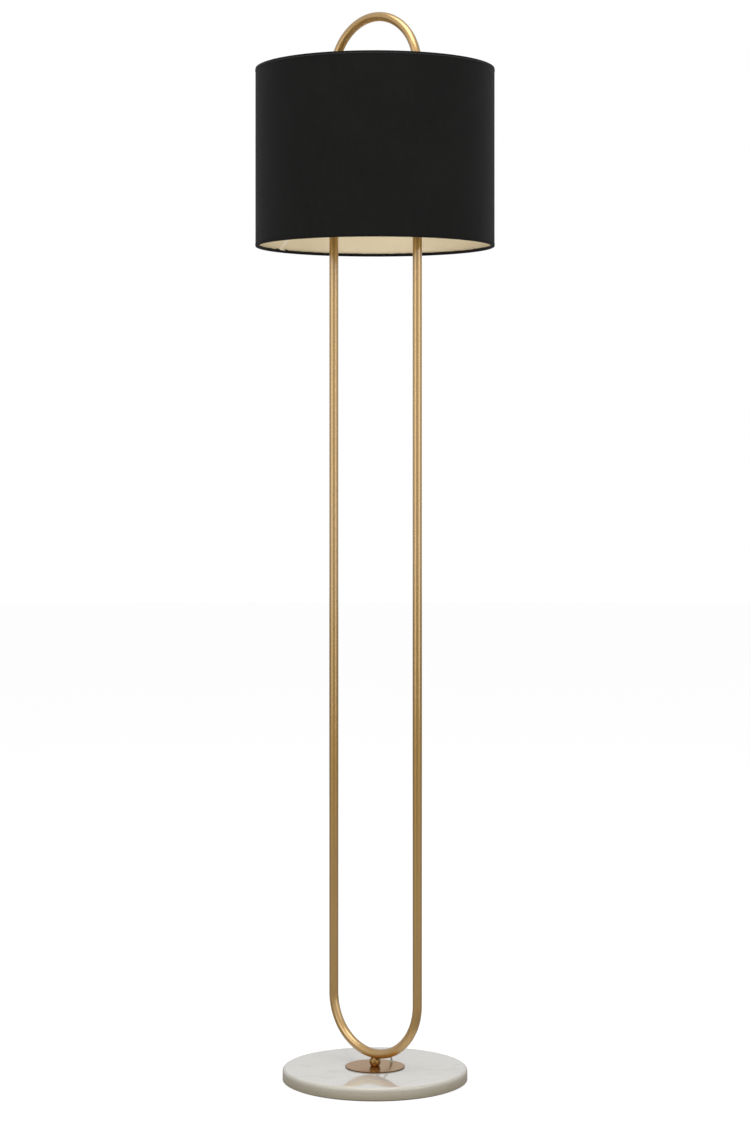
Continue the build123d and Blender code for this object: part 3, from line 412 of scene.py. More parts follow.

# %% [markdown]
# Only the top of the disc is polished to a mirror.  The side is honed, so it is rougher, and
# its colour darkens to a brown towards the foot: painted shade.  The change starts at the rounded
# edge, quickly at first and then slowly, which is what a power below one does to a straight ramp.
# %% Finish: honed and shaded side of the marble
stone_low, stone_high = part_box("marble_base")
quick_start = 0.32
side_drop = spread(tree, height_of(tree), stone_high.z - 0.1 * mm, stone_low.z + 0.5 * mm)
honed_and_shaded = sums(tree, "POWER", side_drop, quick_start)
# painted shade: the side's colour darkens to this brown towards the foot
stone = blend(tree, honed_and_shaded, stone, rgb(0.315, 0.278, 0.205))
top_rough = sums(tree, "MULTIPLY_ADD", clouds, 0.05, 0.07)
marble_rough = sums(tree, "MULTIPLY_ADD", honed_and_shaded, 0.22, top_rough)
polish_end = stone_high.z - 0.6 * mm
honed_from = stone_high.z - 4.0 * mm
polished = spread(tree, height_of(tree), polish_end, honed_from, 1.0, 0.12)
wire(tree, shader, base_color=stone, roughness=marble_rough, coat_weight=polished)
print("marble finish:", len(tree.nodes), "nodes")

# %% [markdown]
# The shade's outer cloth is black, but never quite black: its fibres stand up and catch light that
# grazes them, which is what the shader's sheen does.  The hems are the same cloth rolled over a
# wire, so one function makes both, with the weave a little denser on the roll.
# %% Finish: black cloth
def black_cloth(name, tone_low, tone_high, pitch, highlight_lines=()):
    """Slubbed black weave with a soft sheen; at each height listed, a thin grey line is painted as a
    highlight.
    """
    material, tree, shader = new_finish(
        name, specular_ior_level=0.12, sheen_weight=0.05, sheen_roughness=0.35,
        sheen_tint=rgb(0.9, 0.9, 1.0),
    )
    weave = use(tree, slub_weave, {"Place": along_uv(tree, 1.0, 1.0), "Pitch": pitch, "Depth": 0.6})
    dust = use(tree, cloudy_tone, {"Size": 14.0, "Contrast": 1.0}).outputs["Mask"]
    tone = blend(tree, weave.outputs["Slubs"], tone_low, tone_high)
    between = sums(tree, "MULTIPLY", weave.outputs["Threads"], 0.35)
    tone = blend(tree, between, rgb(0.004, 0.004, 0.004), tone)
    tone = blend(tree, sums(tree, "MULTIPLY", dust, 0.10), tone, rgb(0.03, 0.03, 0.028))
    for line_z in highlight_lines:
        # painted highlight: a thin lighter grey line along the fold below the top rim
        off_line = sums(tree, "ABSOLUTE", sums(tree, "SUBTRACT", height_of(tree), line_z))
        painted_highlight = spread(tree, off_line, 0.4 * mm, 1.3 * mm, 0.9, 0.0)
        tone = blend(tree, painted_highlight, tone, rgb(0.027, 0.027, 0.026))
    rough = sums(tree, "MULTIPLY_ADD", weave.outputs["Threads"], -0.12, 0.86)
    wire(tree, shader, base_color=tone, roughness=rough, normal=weave.outputs["Normal"])
    return material


welt_drop = 3.4 * mm
shade_black = black_cloth(
    "black shade cloth", rgb(0.0075, 0.0073, 0.0068), rgb(0.0175, 0.0171, 0.0160), 0.6 * mm
)
# the top hem gets a painted highlight line at the welt
hem_black = black_cloth(
    "black hem cloth", rgb(0.0070, 0.0068, 0.0064), rgb(0.0130, 0.0127, 0.0120), 0.5 * mm,
    highlight_lines=(shade_top - welt_drop,),
)
print("cloth finishes:", shade_black.name, "and", hem_black.name)

# %% [markdown]
# Inside, the cloth is bonded to a pale gold plastic film.  It is smooth and slightly glossy, with a
# faint print of the weave behind it, and it glows because light passes round inside the drum.
# %% Finish: lining
lining_cream, tree, shader = new_finish(
    "cream lining", specular_ior_level=0.35, coat_weight=0.08, coat_roughness=0.3
)
print_through = use(
    tree, slub_weave, {"Place": along_uv(tree, 1.0, 1.0), "Pitch": 0.6 * mm, "Depth": 0.12}
)
patches = use(tree, cloudy_tone, {"Size": 12.0, "Contrast": 0.8}).outputs["Mask"]
cream = blend(tree, patches, rgb(0.81, 0.705, 0.500), rgb(0.86, 0.760, 0.550))
slub_print = sums(tree, "MULTIPLY", print_through.outputs["Slubs"], 0.15)
cream = blend(tree, slub_print, cream, rgb(0.74, 0.63, 0.43))
cream_rough = sums(tree, "MULTIPLY_ADD", print_through.outputs["Threads"], 0.05, 0.42)
wire(tree, shader, base_color=cream, roughness=cream_rough, normal=print_through.outputs["Normal"])
print("lining finish:", len(tree.nodes), "nodes")

# %% [markdown]
# The tape over the lining's join is the same film, paler and a little glossier than the lining
# round it.
# %% Finish: seam tape
seam_cream, tree, shader = new_finish(
    "lining seam tape", specular_ior_level=0.4, coat_weight=0.15, coat_roughness=0.2
)
patches = use(tree, cloudy_tone, {"Size": 40.0, "Contrast": 0.8}).outputs["Mask"]
tape = blend(tree, patches, rgb(0.88, 0.81, 0.66), rgb(0.93, 0.87, 0.74))
tape_tooth = use(tree, fine_tooth, {"Grain": 1500.0, "Depth": 0.1})
tape_rough = sums(tree, "MULTIPLY_ADD", tape_tooth.outputs["Mask"], 0.06, 0.34)
wire(tree, shader, base_color=tape, roughness=tape_rough, normal=tape_tooth.outputs["Normal"])
print("tape finish:", len(tree.nodes), "nodes")

# %% [markdown]
# The small parts share a few plain workshop finishes, and one helper makes them all: two tones in
# soft patches, a roughness, and a tooth with its own grain and depth.
# %% Helper: plain finish
def plain_finish(name, low, high, rough, grain, depth, patch_size=30.0, **plain):
    """Two tones in soft patches, and a fine tooth."""
    material, tree, shader = new_finish(name, **plain)
    patches = use(tree, cloudy_tone, {"Size": patch_size, "Contrast": 1.0}).outputs["Mask"]
    tooth = use(tree, fine_tooth, {"Grain": grain, "Depth": depth})
    uneven = sums(tree, "MULTIPLY_ADD", tooth.outputs["Mask"], 0.10, rough)
    tone = blend(tree, patches, low, high)
    wire(tree, shader, base_color=tone, roughness=uneven, normal=tooth.outputs["Normal"])
    return material


print("finish helper: plain_finish")

# %% [markdown]
# The metals differ most in tone and in how fine their polish is.  The mouldings and the clay differ
# in their tooth: plastic takes the fine grain of its mould, and fired clay stays a little chalky.
# The three numbers after the two tones are the roughness, the grain of the tooth and its depth.
# %% Finishes of the small parts
felt_dark = plain_finish(
    "dark felt", rgb(0.030, 0.028, 0.026), rgb(0.055, 0.052, 0.048), 0.88, 1800.0, 0.9,
    sheen_weight=0.3,
)
zinc = plain_finish(
    "zinc plate", rgb(0.50, 0.51, 0.53), rgb(0.62, 0.62, 0.61), 0.26, 900.0, 0.08, metallic=1.0
)
nickel = plain_finish(
    "nickel plate", rgb(0.60, 0.59, 0.56), rgb(0.70, 0.69, 0.66), 0.18, 700.0, 0.05, metallic=1.0
)
bright_brass = plain_finish(
    "bright brass", rgb(0.66, 0.50, 0.24), rgb(0.74, 0.58, 0.30), 0.20, 800.0, 0.06, metallic=1.0
)
black_moulding = plain_finish(
    "black moulding", rgb(0.012, 0.012, 0.012), rgb(0.020, 0.020, 0.020), 0.36, 2200.0, 0.25
)
white_clay = plain_finish(
    "fired white clay", rgb(0.72, 0.70, 0.66), rgb(0.80, 0.78, 0.74), 0.55, 1600.0, 0.35
)
natural_nylon = plain_finish(
    "natural nylon", rgb(0.70, 0.70, 0.65), rgb(0.78, 0.78, 0.74), 0.38, 1300.0, 0.12
)
black_glass = plain_finish(
    "black cap glass", rgb(0.010, 0.010, 0.014), rgb(0.022, 0.022, 0.028), 0.06, 500.0, 0.05
)
phosphor = plain_finish(
    "yellow phosphor", rgb(0.74, 0.50, 0.10), rgb(0.84, 0.60, 0.16), 0.60, 2500.0, 0.40
)
clear_sheath = plain_finish(
    "clear lead sheath", rgb(0.30, 0.32, 0.27), rgb(0.42, 0.44, 0.39), 0.14, 900.0, 0.05,
    coat_weight=0.6,
)
print("finishes so far:", len(bpy.data.materials))

# %% [markdown]
# Blown glass is never perfectly even, so its only pattern is a slow wave in the surface.  Its
# transmission and metallic stay plain numbers.
# %% Finish: clear glass
clear_glass, tree, shader = new_finish("clear blown glass", transmission_weight=1.0, ior=1.45)
waves = use(tree, fine_tooth, {"Grain": 60.0, "Depth": 0.04, "Height": 0.3 * mm})
smears = use(tree, cloudy_tone, {"Size": 30.0, "Contrast": 1.0}).outputs["Mask"]
glass_tint = blend(tree, smears, rgb(0.94, 0.95, 0.94), rgb(0.99, 0.99, 0.985))
glass_rough = sums(tree, "MULTIPLY_ADD", smears, 0.02, 0.01)
wire(tree, shader, base_color=glass_tint, roughness=glass_rough, normal=waves.outputs["Normal"])
print("finishes:", len(bpy.data.materials))

# %% [markdown]
# The CAD parts whose shape is already right only need their finish.  Each material slot on the
# object is given the new material, and the mesh stays as it is.
# %% Finish the CAD parts
finish_of = {
    "stud_boss": zinc, "mounting_stud": zinc, "clamp_washer": zinc, "spring_washer": zinc,
    "stud_nut": zinc, "arch_spigots": zinc, "spigot_screws": zinc, "hub_screws": zinc,
    "threaded_nipple": zinc, "bottom_ring": zinc, "top_ring": zinc, "fitter_spider": zinc,
    "crossbar_arms": part_gold, "centre_hub": part_gold,
    "ball_spacer": ball_brass, "base_plate": plate_brass, "marble_base": marble_finish,
    "cord_gland": black_moulding, "holder_cap": black_moulding, "holder_barrel": black_moulding,
    "shade_rings": black_moulding, "switch_body": black_moulding, "switch_knob": black_moulding,
    "terminal_screws": bright_brass, "nipple_locknuts": bright_brass, "contact_screws": bright_brass,
    "screw_shell": bright_brass, "centre_contact": bright_brass, "switch_bush": bright_brass,
    "bush_nut": bright_brass, "switch_shaft": bright_brass, "bulb_tip": bright_brass,
    "insulator": white_clay, "terminal_block": natural_nylon,
    "lead_grommet": clear_sheath, "lamp_lead": clear_sheath,
    "bulb_cap": nickel, "bulb_insulator": black_glass,
    "bulb_glass": clear_glass, "bulb_stem": clear_glass, "bulb_filaments": phosphor,
    "loop_tube": tube_gold, "top_arch": tube_gold, "foot_pad": felt_dark,
    "shade_fabric": shade_black, "bottom_hem": hem_black, "top_hem": hem_black,
    "shade_lining": lining_cream, "lining_seam": seam_cream,
}
for node_name, material in finish_of.items():
    for material_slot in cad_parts[node_name].material_slots:
        material_slot.material = material
print("finished CAD parts:", len(finish_of))

# %% [markdown]
# Every new piece is made of rings of points.  Each ring joins the next with a band of quads, and
# each corner gets a UV in metres, so a weave or a grain has its true size on every piece.
# %% Helper: pieces from rings
def set_down(name, data):
    """Put a mesh or a light in the scene as an object."""
    thing = bpy.data.objects.new(name, data)
    bpy.context.scene.collection.objects.link(thing)
    return thing


def from_grid(name, rings, u_of, v_of, material, closed_rings=True, closed_outline=True):
    """Join rings of points into quads, with a UV for each corner."""
    mesh = bpy.data.meshes.new(name)
    count, size = len(rings), len(rings[0])
    points = [tuple(point) for ring in rings for point in ring]
    steps = count if closed_rings else count - 1
    spans = size if closed_outline else size - 1
    faces, corners = [], []
    for i in range(steps):
        for j in range(spans):
            i2, j2 = (i + 1) % count, (j + 1) % size
            faces.append((i * size + j, i2 * size + j, i2 * size + j2, i * size + j2))
            u1, u2, v1, v2 = u_of(i), u_of(i + 1), v_of(j), v_of(j + 1)
            corners += [(u1, v1), (u2, v1), (u2, v2), (u1, v2)]
    mesh.from_pydata(points, [], faces)
    layer = mesh.uv_layers.new(name="UVMap")
    layer.data.foreach_set("uv", [value for corner in corners for value in corner])
    mesh.validate()
    piece = set_down(name, mesh)
    mesh.materials.append(material)
    mesh.shade_smooth()
    return piece


print("piece helpers: set_down, from_grid")

# %% [markdown]
# Round parts are lathed, as on a real lathe: an outline of (radius, height) points is turned about
# the lamp's axis.  A small wobble may be added to the radius for cloth and felt, which never run
# quite true.
# %% Helper: lathe
def lathe(name, outline, material, turns=256, wobble=None):
    """Turn an outline of (radius, height) points; wobble(angle, index) adds to the radius."""
    rings = []
    for i in range(turns):
        a = 2 * math.pi * i / turns
        ring = []
        for j, (radius, z) in enumerate(outline):
            r = radius + (wobble(a, j) if wobble else 0.0)
            ring.append((r * math.cos(a), r * math.sin(a), z))
        rings.append(ring)
    lengths = [0.0]
    for (r1, z1), (r2, z2) in zip(outline, outline[1:] + outline[:1]):
        lengths.append(lengths[-1] + math.hypot(r2 - r1, z2 - z1))
    mean_r = sum(radius for radius, z in outline) / len(outline)
    around = 2 * math.pi * mean_r / turns
    return from_grid(name, rings, lambda i: i * around, lambda j: lengths[j], material)


def arc_points(centre_r, centre_z, radius, start, end, steps):
    """Points on an arc of an outline, angles in degrees."""
    made = []
    for k in range(steps + 1):
        a = math.radians(start + (end - start) * k / steps)
        made.append((centre_r + radius * math.cos(a), centre_z + radius * math.sin(a)))
    return made


def ring_noise(angle, waves, level):
    """Smooth noise round the axis that joins up with itself; more waves make it quicker."""
    return noise.noise(Vector((waves * math.cos(angle), waves * math.sin(angle), level)))


print("lathe helpers: lathe, arc_points, ring_noise")

# %% [markdown]
# A machined edge looks crisp and a turned face looks smooth.  `crease` marks as sharp the edges
# that bend more than a limit.  `cut_away` takes tools out of a piece and `set_for_good` makes the
# result its mesh, so that nothing depends on a tool that is gone.
# %% Helper: crisp edges and cuts
def crease(piece, degrees=30.0):
    """Keep corners sharper than this crisp and round everything else."""
    mesh = piece.data
    solid = bmesh.new()
    solid.from_mesh(mesh)
    limit = math.radians(degrees)
    for edge in solid.edges:
        edge.smooth = len(edge.link_faces) < 2 or edge.calc_face_angle(0.0) < limit
    solid.to_mesh(mesh)
    solid.free()


def set_for_good(piece):
    """Give the piece the mesh that its modifiers make, and drop the modifiers."""
    bpy.context.view_layer.update()
    seen = piece.evaluated_get(bpy.context.evaluated_depsgraph_get())
    result = bpy.data.meshes.new_from_object(seen)
    piece.modifiers.clear()
    piece.data = result


def cut_away(piece, *cutters):
    """Cut the cutters out of the piece for good, and remove them."""
    for cutter in cutters:
        cut = piece.modifiers.new("cut", "BOOLEAN")
        cut.operation = "DIFFERENCE"
        cut.solver = "EXACT"
        cut.object = cutter
    set_for_good(piece)
    for cutter in cutters:
        bpy.data.objects.remove(cutter)


print("edge helpers: crease, set_for_good, cut_away")

# %% [markdown]
# A hole is made as in a workshop: a closed solid with the shape of the tool is set where the hole
# goes.  A straight drill and a block do for most of them.
# %% Helper: straight tools
def tool_of(name, solid):
    """Turn a finished solid into an object."""
    mesh = bpy.data.meshes.new(name)
    solid.to_mesh(mesh)
    solid.free()
    return set_down(name, mesh)


def drill(name, start, way, radius, length, sides=48):
    """A closed round rod used as a drill, from start along way."""
    rod = bmesh.new()
    heading = Vector(way).normalized()
    turn = heading.to_track_quat("Z", "Y").to_matrix().to_4x4()
    middle = Vector(start) + heading * length / 2
    bmesh.ops.create_cone(
        rod, cap_ends=True, segments=sides, radius1=radius, radius2=radius, depth=length,
        matrix=Matrix.Translation(middle) @ turn,
    )
    return tool_of(name, rod)


def block(name, size, middle):
    """A closed block of this size about its middle."""
    solid = bmesh.new()
    bmesh.ops.create_cube(solid, size=1.0)
    bmesh.ops.scale(solid, vec=size, verts=solid.verts)
    bmesh.ops.translate(solid, vec=middle, verts=solid.verts)
    return tool_of(name, solid)


print("tools: drill, block")

# %% [markdown]
# The tube and the seat that the ball needs for it are both round sections carried along a bent
# line.  The line lies in the loop's own plane, so each section can be drawn from two directions:
# one level, and one square to the line.
# %% Helper: bent sections
def ring_round(point, way, radius, sides):
    """Points on a circle round a line that lies in the loop's plane."""
    level = Vector((0, 1, 0))
    sideways = way.cross(level)
    turns = [2 * math.pi * s / sides for s in range(sides)]
    return [point + (sideways * math.cos(a) + level * math.sin(a)) * radius for a in turns]


def bent_drill(name, line, radius, sides=72):
    """A closed round rod along a line of (point, way) pairs."""
    solid = bmesh.new()
    rings = []
    for point, way in line:
        rings.append([solid.verts.new(place) for place in ring_round(point, way, radius, sides)])
    for first, second in zip(rings, rings[1:]):
        for s in range(sides):
            after = (s + 1) % sides
            solid.faces.new((first[s], first[after], second[after], second[s]))
    solid.faces.new(list(reversed(rings[0])))
    solid.faces.new(rings[-1])
    bmesh.ops.recalc_face_normals(solid, faces=solid.faces)
    return tool_of(name, solid)


def tube_piece(name, line, outer_r, inner_r, material, sides=72):
    """A closed tube: out along its skin and back along its bore, with a cut end at each turn."""
    walked = [0.0]
    for k in range(1, len(line)):
        walked.append(walked[-1] + (line[k][0] - line[k - 1][0]).length)
    circles = [ring_round(point, way, outer_r, sides) for point, way in line]
    circles += [ring_round(point, way, inner_r, sides) for point, way in reversed(line)]
    along = walked + walked[::-1] + [0.0]
    around = 2 * math.pi * outer_r / sides
    # one strip along the tube for each side of its section
    strips = list(zip(*circles))
    return from_grid(name, strips, lambda i: i * around, lambda j: along[j], material)


print("section helpers: ring_round, bent_drill, tube_piece")

# %% [markdown]
# The loop is bent tube: straight legs and half circles.  The upper arch is a second tube that meets
# the first at a hidden joint inside the shade, so both are made by the same function.  Each leg has
# one grub screw above the joint and one below it, and each screw needs a hole in the wall.
# %% Bend the loop
def u_path(straight_z, bend_z, way, bend_steps=120):
    """Centre line of one half of the loop: a leg, a half circle and the other leg."""
    # from the joint, down or up the left leg to where the bend starts
    line = [(Vector((-leg_x, 0, straight_z)), Vector((0, 0, way)))]
    for k in range(bend_steps + 1):
        a = math.pi * k / bend_steps
        point = Vector((-leg_x * math.cos(a), 0, bend_z + way * leg_x * math.sin(a)))
        line.append((point, Vector((math.sin(a), 0, way * math.cos(a)))))
    line.append((Vector((leg_x, 0, straight_z)), Vector((0, 0, -way))))
    return line


bore_r = tube_r - tube_wall
lower_loop = tube_piece("lower_loop", u_path(arch_joint, bend_low, -1), tube_r, bore_r, tube_gold)
upper_arch = tube_piece("upper_arch", u_path(arch_joint, bend_high, 1), tube_r, bore_r, tube_gold)
grub_gap = 10.0 * mm
grub_hole_r = 1.55 * mm
drill_back = 1 * mm
inner_x = leg_x - tube_r - drill_back
for name, piece, screw_z in (
    ("lower", lower_loop, arch_joint - grub_gap),
    ("upper", upper_arch, arch_joint + grub_gap),
):
    left = drill(name + "_left", (-inner_x, 0, screw_z), (-1, 0, 0), grub_hole_r, tube_r)
    right = drill(name + "_right", (inner_x, 0, screw_z), (1, 0, 0), grub_hole_r, tube_r)
    cut_away(piece, left, right)
    crease(piece)
print("loop faces:", len(lower_loop.data.polygons), "+", len(upper_arch.data.polygons))

# %% [markdown]
# The lower loop has three more holes: one at the back of the bend, where the lead goes in, one
# underneath for the stud, and one in the right leg, where the crossbar brings the lead out again.
# The lead's hole points along the lead, from the place where the lead leaves its last curve.
# %% Drill the loop
hub_low, hub_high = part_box("centre_hub")
bar_z = (hub_low.z + hub_high.z) / 2
exit_x = 11.0 * mm
leave = math.radians(18)
exit_z = bend_low + exit_x * math.tan(leave) - leg_x / math.cos(leave)
plate_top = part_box("base_plate")[1].z
# the end of the lead's last curve, behind the tube and over the plate
lead_from = Vector((5.0 * mm, 25.0 * mm, plate_top + 10.9 * mm))
exit_way = (lead_from - Vector((exit_x, 0, exit_z))).normalized()
lead_exit_r = 2.0 * mm
stud_clear_r = 3.3 * mm
bar_hole_r = 3.6 * mm
cut_away(
    lower_loop,
    drill("lead_hole", (exit_x, 0, exit_z), exit_way, lead_exit_r, 2 * tube_r),
    drill("stud_hole", (0, 0, loop_low.z - drill_back), (0, 0, 1), stud_clear_r, tube_r),
    drill("bar_hole", (leg_x, 0, bar_z), (-1, 0, 0), bar_hole_r, 2 * tube_r),
)
crease(lower_loop)
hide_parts("loop_tube")
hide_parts("top_arch")
for piece in (lower_loop, upper_arch):
    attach(piece, "lamp")
print("lower loop faces once drilled:", len(lower_loop.data.polygons))

# %% [markdown]
# The base is a polished disc.  Its top edge is rounded over and its foot is eased, and below it is
# hollowed out for the nut and the wiring.
# %% Turn the marble
marble_low, marble_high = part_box("marble_base")
marble_r = marble_high.x
pad_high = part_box("foot_pad")[1].z
stone_foot = marble_low.z
hollow_r = 56.0 * mm
hollow_top = stone_foot + 10.0 * mm
top_round = 5.0 * mm
foot_round = 1.5 * mm
stud_hole_r = 5.0 * mm
outline = [(stud_hole_r, hollow_top), (hollow_r, hollow_top), (hollow_r, stone_foot)]
outline += [(marble_r * 0.6, stone_foot), (marble_r * 0.85, stone_foot)]
outline += arc_points(marble_r - foot_round, stone_foot + foot_round, foot_round, -90, 0, 8)
outline += arc_points(marble_r - top_round, marble_high.z - top_round, top_round, 0, 90, 16)
outline += [(marble_r * share, marble_high.z) for share in (0.9, 0.75, 0.6, 0.45, 0.3, 0.15)]
outline += [(stud_hole_r, marble_high.z)]
marble_disc = lathe("marble_disc", outline, marble_finish, turns=320)
print("marble across:", round(2 * marble_r / mm, 1), "mm")

# %% [markdown]
# A groove for the cord runs under the stone from the hollow to the back.  It has a round roof and
# straight sides, so it is a drill and a block.  The lead comes up through a small hole of its own.
# %% Groove and drill the marble
groove_r = 4.5 * mm
groove_z = pad_high + 4.4 * mm
groove_start = hollow_r * 0.8
below = 2 * mm
lead_hole = Vector((1.5 * mm, 36.0 * mm, 0))
lead_bore_r = 2.85 * mm
bore_from = hollow_top - drill_back
cut_away(
    marble_disc,
    drill("groove", (0, groove_start, groove_z), (0, 1, 0), groove_r, marble_r),
    drill("lead_bore", (lead_hole.x, lead_hole.y, bore_from), (0, 0, 1), lead_bore_r, 12 * mm),
)
groove_size = (2 * groove_r, marble_r, groove_z - stone_foot + below)
groove_middle = Vector((0, groove_start + marble_r / 2, (groove_z + stone_foot - below) / 2))
cut_away(marble_disc, block("groove_foot", groove_size, groove_middle))
crease(marble_disc, 40.0)
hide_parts("marble_base")
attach(marble_disc, "lamp")
print("marble faces:", len(marble_disc.data.polygons))

# %% [markdown]
# The felt disc under the stone is pressed wool with a soft edge.  It is a sheet, cut round from a
# square, glued on flat.
# %% Cut the felt
pad_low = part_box("foot_pad")[0].z
pad_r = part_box("foot_pad")[1].x
soft_edge = 0.45 * (pad_high - pad_low)
outline = [(pad_r * share, pad_low) for share in (0.0005, 0.35, 0.7, 0.9)]
outline += arc_points(pad_r - soft_edge, pad_low + soft_edge, soft_edge, -90, 0, 5)
outline += arc_points(pad_r - soft_edge, pad_high - soft_edge, soft_edge, 0, 90, 5)
outline += [(pad_r * share, pad_high) for share in (0.9, 0.7, 0.35, 0.0005)]
edge_stray = 0.25 * mm


def felt_edge(angle, index):
    """The cut edge of felt strays a little."""
    return -edge_stray * (0.5 + 0.5 * ring_noise(angle, 60, 3.0))


felt_pad = lathe("felt_pad", outline, felt_dark, turns=240, wobble=felt_edge)
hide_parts("foot_pad")
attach(felt_pad, "lamp")

# %% [markdown]
# The plate is spun from sheet brass: flat, with a small rounded rim, a plain hole for the stud and
# a smaller one for the lead.
# %% Spin the plate
plate_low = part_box("base_plate")[0].z
plate_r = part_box("base_plate")[1].x
rim_round = 0.5 * mm
outline = [(stud_clear_r, plate_low), (plate_r * 0.5, plate_low), (plate_r, plate_low)]
outline += arc_points(plate_r - rim_round, plate_top - rim_round, rim_round, 0, 90, 8)
outline += [(plate_r * share, plate_top) for share in (0.9, 0.7, 0.5, 0.3)]
outline += [(stud_clear_r, plate_top)]
spun_plate = lathe("spun_plate", outline, plate_brass, turns=256)
bore_start = (lead_hole.x, lead_hole.y, plate_low - drill_back)
cut_away(spun_plate, drill("plate_bore", bore_start, (0, 0, 1), lead_bore_r, 4 * mm))
crease(spun_plate, 40.0)
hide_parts("base_plate")
print("plate across:", round(2 * plate_r / mm, 1), "mm")

# %% [markdown]
# The ball is a lathed sphere, ground flat where it stands and bored for the stud.  Its top is
# hollowed to seat the tube, and a short drill with the tube's own bend does that.
# %% Turn the ball
ball_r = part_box("ball_spacer")[1].x
ball_flat = 2.2 * mm
ball_z = plate_top + ball_r - ball_flat
seat_angle = math.degrees(math.asin((ball_flat - ball_r) / ball_r))
top_angle = 84
outline = [(stud_clear_r, plate_top)]
outline += arc_points(0, ball_z, ball_r, seat_angle, top_angle, 64)
outline += [(stud_clear_r, outline[-1][1])] if outline[-1][0] > stud_clear_r else []
turned_ball = lathe("turned_ball", outline, ball_brass, turns=128)
seat_steps = 40
seat_half = math.radians(14)
seat_line = []
for k in range(seat_steps + 1):
    a = -math.pi / 2 - seat_half + 2 * seat_half * k / seat_steps
    point = Vector((leg_x * math.cos(a), 0, bend_low + leg_x * math.sin(a)))
    seat_line.append((point, Vector((-math.sin(a), 0, math.cos(a)))))
cut_away(turned_ball, bent_drill("saddle", seat_line, tube_r))
crease(turned_ball, 40.0)
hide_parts("ball_spacer")
for piece in (spun_plate, turned_ball):
    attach(piece, "lamp")
print("ball across:", round(2 * ball_r / mm, 1), "mm")

# %% [markdown]
# The shade's wall is cloth pulled round two wire rings.  It is nearly a true drum, but cloth is
# never perfectly flat between its rings, so the radius wanders by a fraction of a millimetre.  The
# wall is a thin closed shell, cloth outside and film inside, with UVs in metres for the weave.
# %% Wrap the shade
wall_skin = 0.45 * mm
wall_stray = 0.12 * mm


def cloth_wander(angle, height):
    """How far the wall strays from a true drum at this place."""
    slow = ring_noise(angle, 2.2, 5.0 * height)
    quick = ring_noise(angle, 9.0, 11.0 * height + 7.0)
    held = math.sin(math.pi * min(1.0, max(0.0, (height - shade_foot) / (shade_top - shade_foot))))
    return wall_stray * held * (0.7 * slow + 0.3 * quick)


def drum_wall(name, node_name, material, rows=56, turns=384):
    """A thin closed shell with the outer radius and height of a CAD node."""
    low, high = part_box(node_name)
    heights = [low.z + (high.z - low.z) * k / rows for k in range(rows + 1)]
    outline = [(high.x, z) for z in heights] + [(high.x - wall_skin, z) for z in reversed(heights)]

    def wander(angle, index):
        return cloth_wander(angle, outline[index][1])

    return lathe(name, outline, material, turns=turns, wobble=wander)


cloth_wall = drum_wall("cloth_wall", "shade_fabric", shade_black)
film_wall = drum_wall("film_wall", "shade_lining", lining_cream)
for piece, node_name, slot_name in (
    (cloth_wall, "shade_fabric", "shade_black"),
    (film_wall, "shade_lining", "lining_cream"),
):
    crease(piece, 60.0)
    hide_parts(node_name)
    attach(piece, "lamp")

# %% [markdown]
# Each hem is the cloth's own edge rolled over the ring wire and glued down.  Seen from outside it
# is a narrow band that ends in a fine step; over the top it is a round bead that follows the wire
# inside.  The outline is drawn once, as radii and distances from the edge, and serves both ends.
# %% Helper: outline of a hem
hem_skin = 0.4 * mm
hem_depth = 4.1 * mm
welt = 0.9 * mm
inner_depth = 4.4 * mm
bead_r = inner_depth / 2
waist_in = 0.22 * mm


def hem_outline():
    """Points of (radius, distance from the edge): band, corner, bead over the wire, and back."""
    corner = 1.5 * mm
    waist = shade_r - waist_in
    wire_face = ring_r + wire_r
    points = [(shade_r - hem_skin, hem_depth), (shade_r - 0.12 * mm, hem_depth)]
    points += [(shade_r, hem_depth - 0.25 * mm), (shade_r, hem_depth - welt)]
    points += [(waist, hem_depth - 1.4 * welt), (waist, corner + 0.3 * mm)]
    points += [(r, corner - z) for r, z in arc_points(waist - corner, 0, corner, 0, 90, 8)]
    points += [(r, bead_r - z) for r, z in arc_points(ring_r, 0, bead_r, 90, 180, 10)]
    points += [(r, bead_r - z) for r, z in arc_points(ring_r, 0, bead_r, 180, 262, 8)[1:]]
    points += [(wire_face, inner_depth - 0.15 * mm), (wire_face, inner_depth * 0.6)]
    return points + [(shade_r - hem_skin, 2.2 * mm)]


print("hem outline:", len(hem_outline()), "points")

# %% [markdown]
# Nothing rolled by hand is even.  The roll puckers a little, its free edge wanders, and at the foot
# it bunches up on both sides of the lining's tab.  `way` is 1 at the foot, where the roll goes up
# from the edge, and -1 at the top.
# %% Roll the hems
pucker_depth = 0.07 * mm
pucker_in = 0.04 * mm
edge_wander = 0.45 * mm
fold_height = 1.3 * mm
fold_width = math.radians(0.9)


def rolled_hem(name, edge_z, way, node_name, folds=()):
    """A rolled hem with its edge at edge_z; at each of the angles in folds its roll bunches up."""
    outline = [(r, edge_z + way * far) for r, far in hem_outline()]

    def pucker(angle, index):
        level = 4.0 * way + 0.7 * outline[index][1] / mm
        return pucker_depth * ring_noise(angle, 34.0, level) - pucker_in

    piece = lathe(name, outline, hem_black, turns=480, wobble=pucker)
    for vertex in piece.data.vertices:
        angle = math.atan2(vertex.co.y, vertex.co.x)
        if abs(vertex.co.z - (edge_z + way * hem_depth)) < 0.5 * mm:
            vertex.co.z += edge_wander * ring_noise(angle, 14.0, 9.0 * way)
        inside = math.hypot(vertex.co.x, vertex.co.y) < ring_r + wire_r
        if inside and abs(vertex.co.z - edge_z) > 0.5 * inner_depth:
            for fold in folds:
                aside = (angle % (2 * math.pi) - fold) / fold_width
                vertex.co.z += way * fold_height * math.exp(-aside ** 2)
    crease(piece, 70.0)
    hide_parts(node_name)
    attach(piece, "lamp")


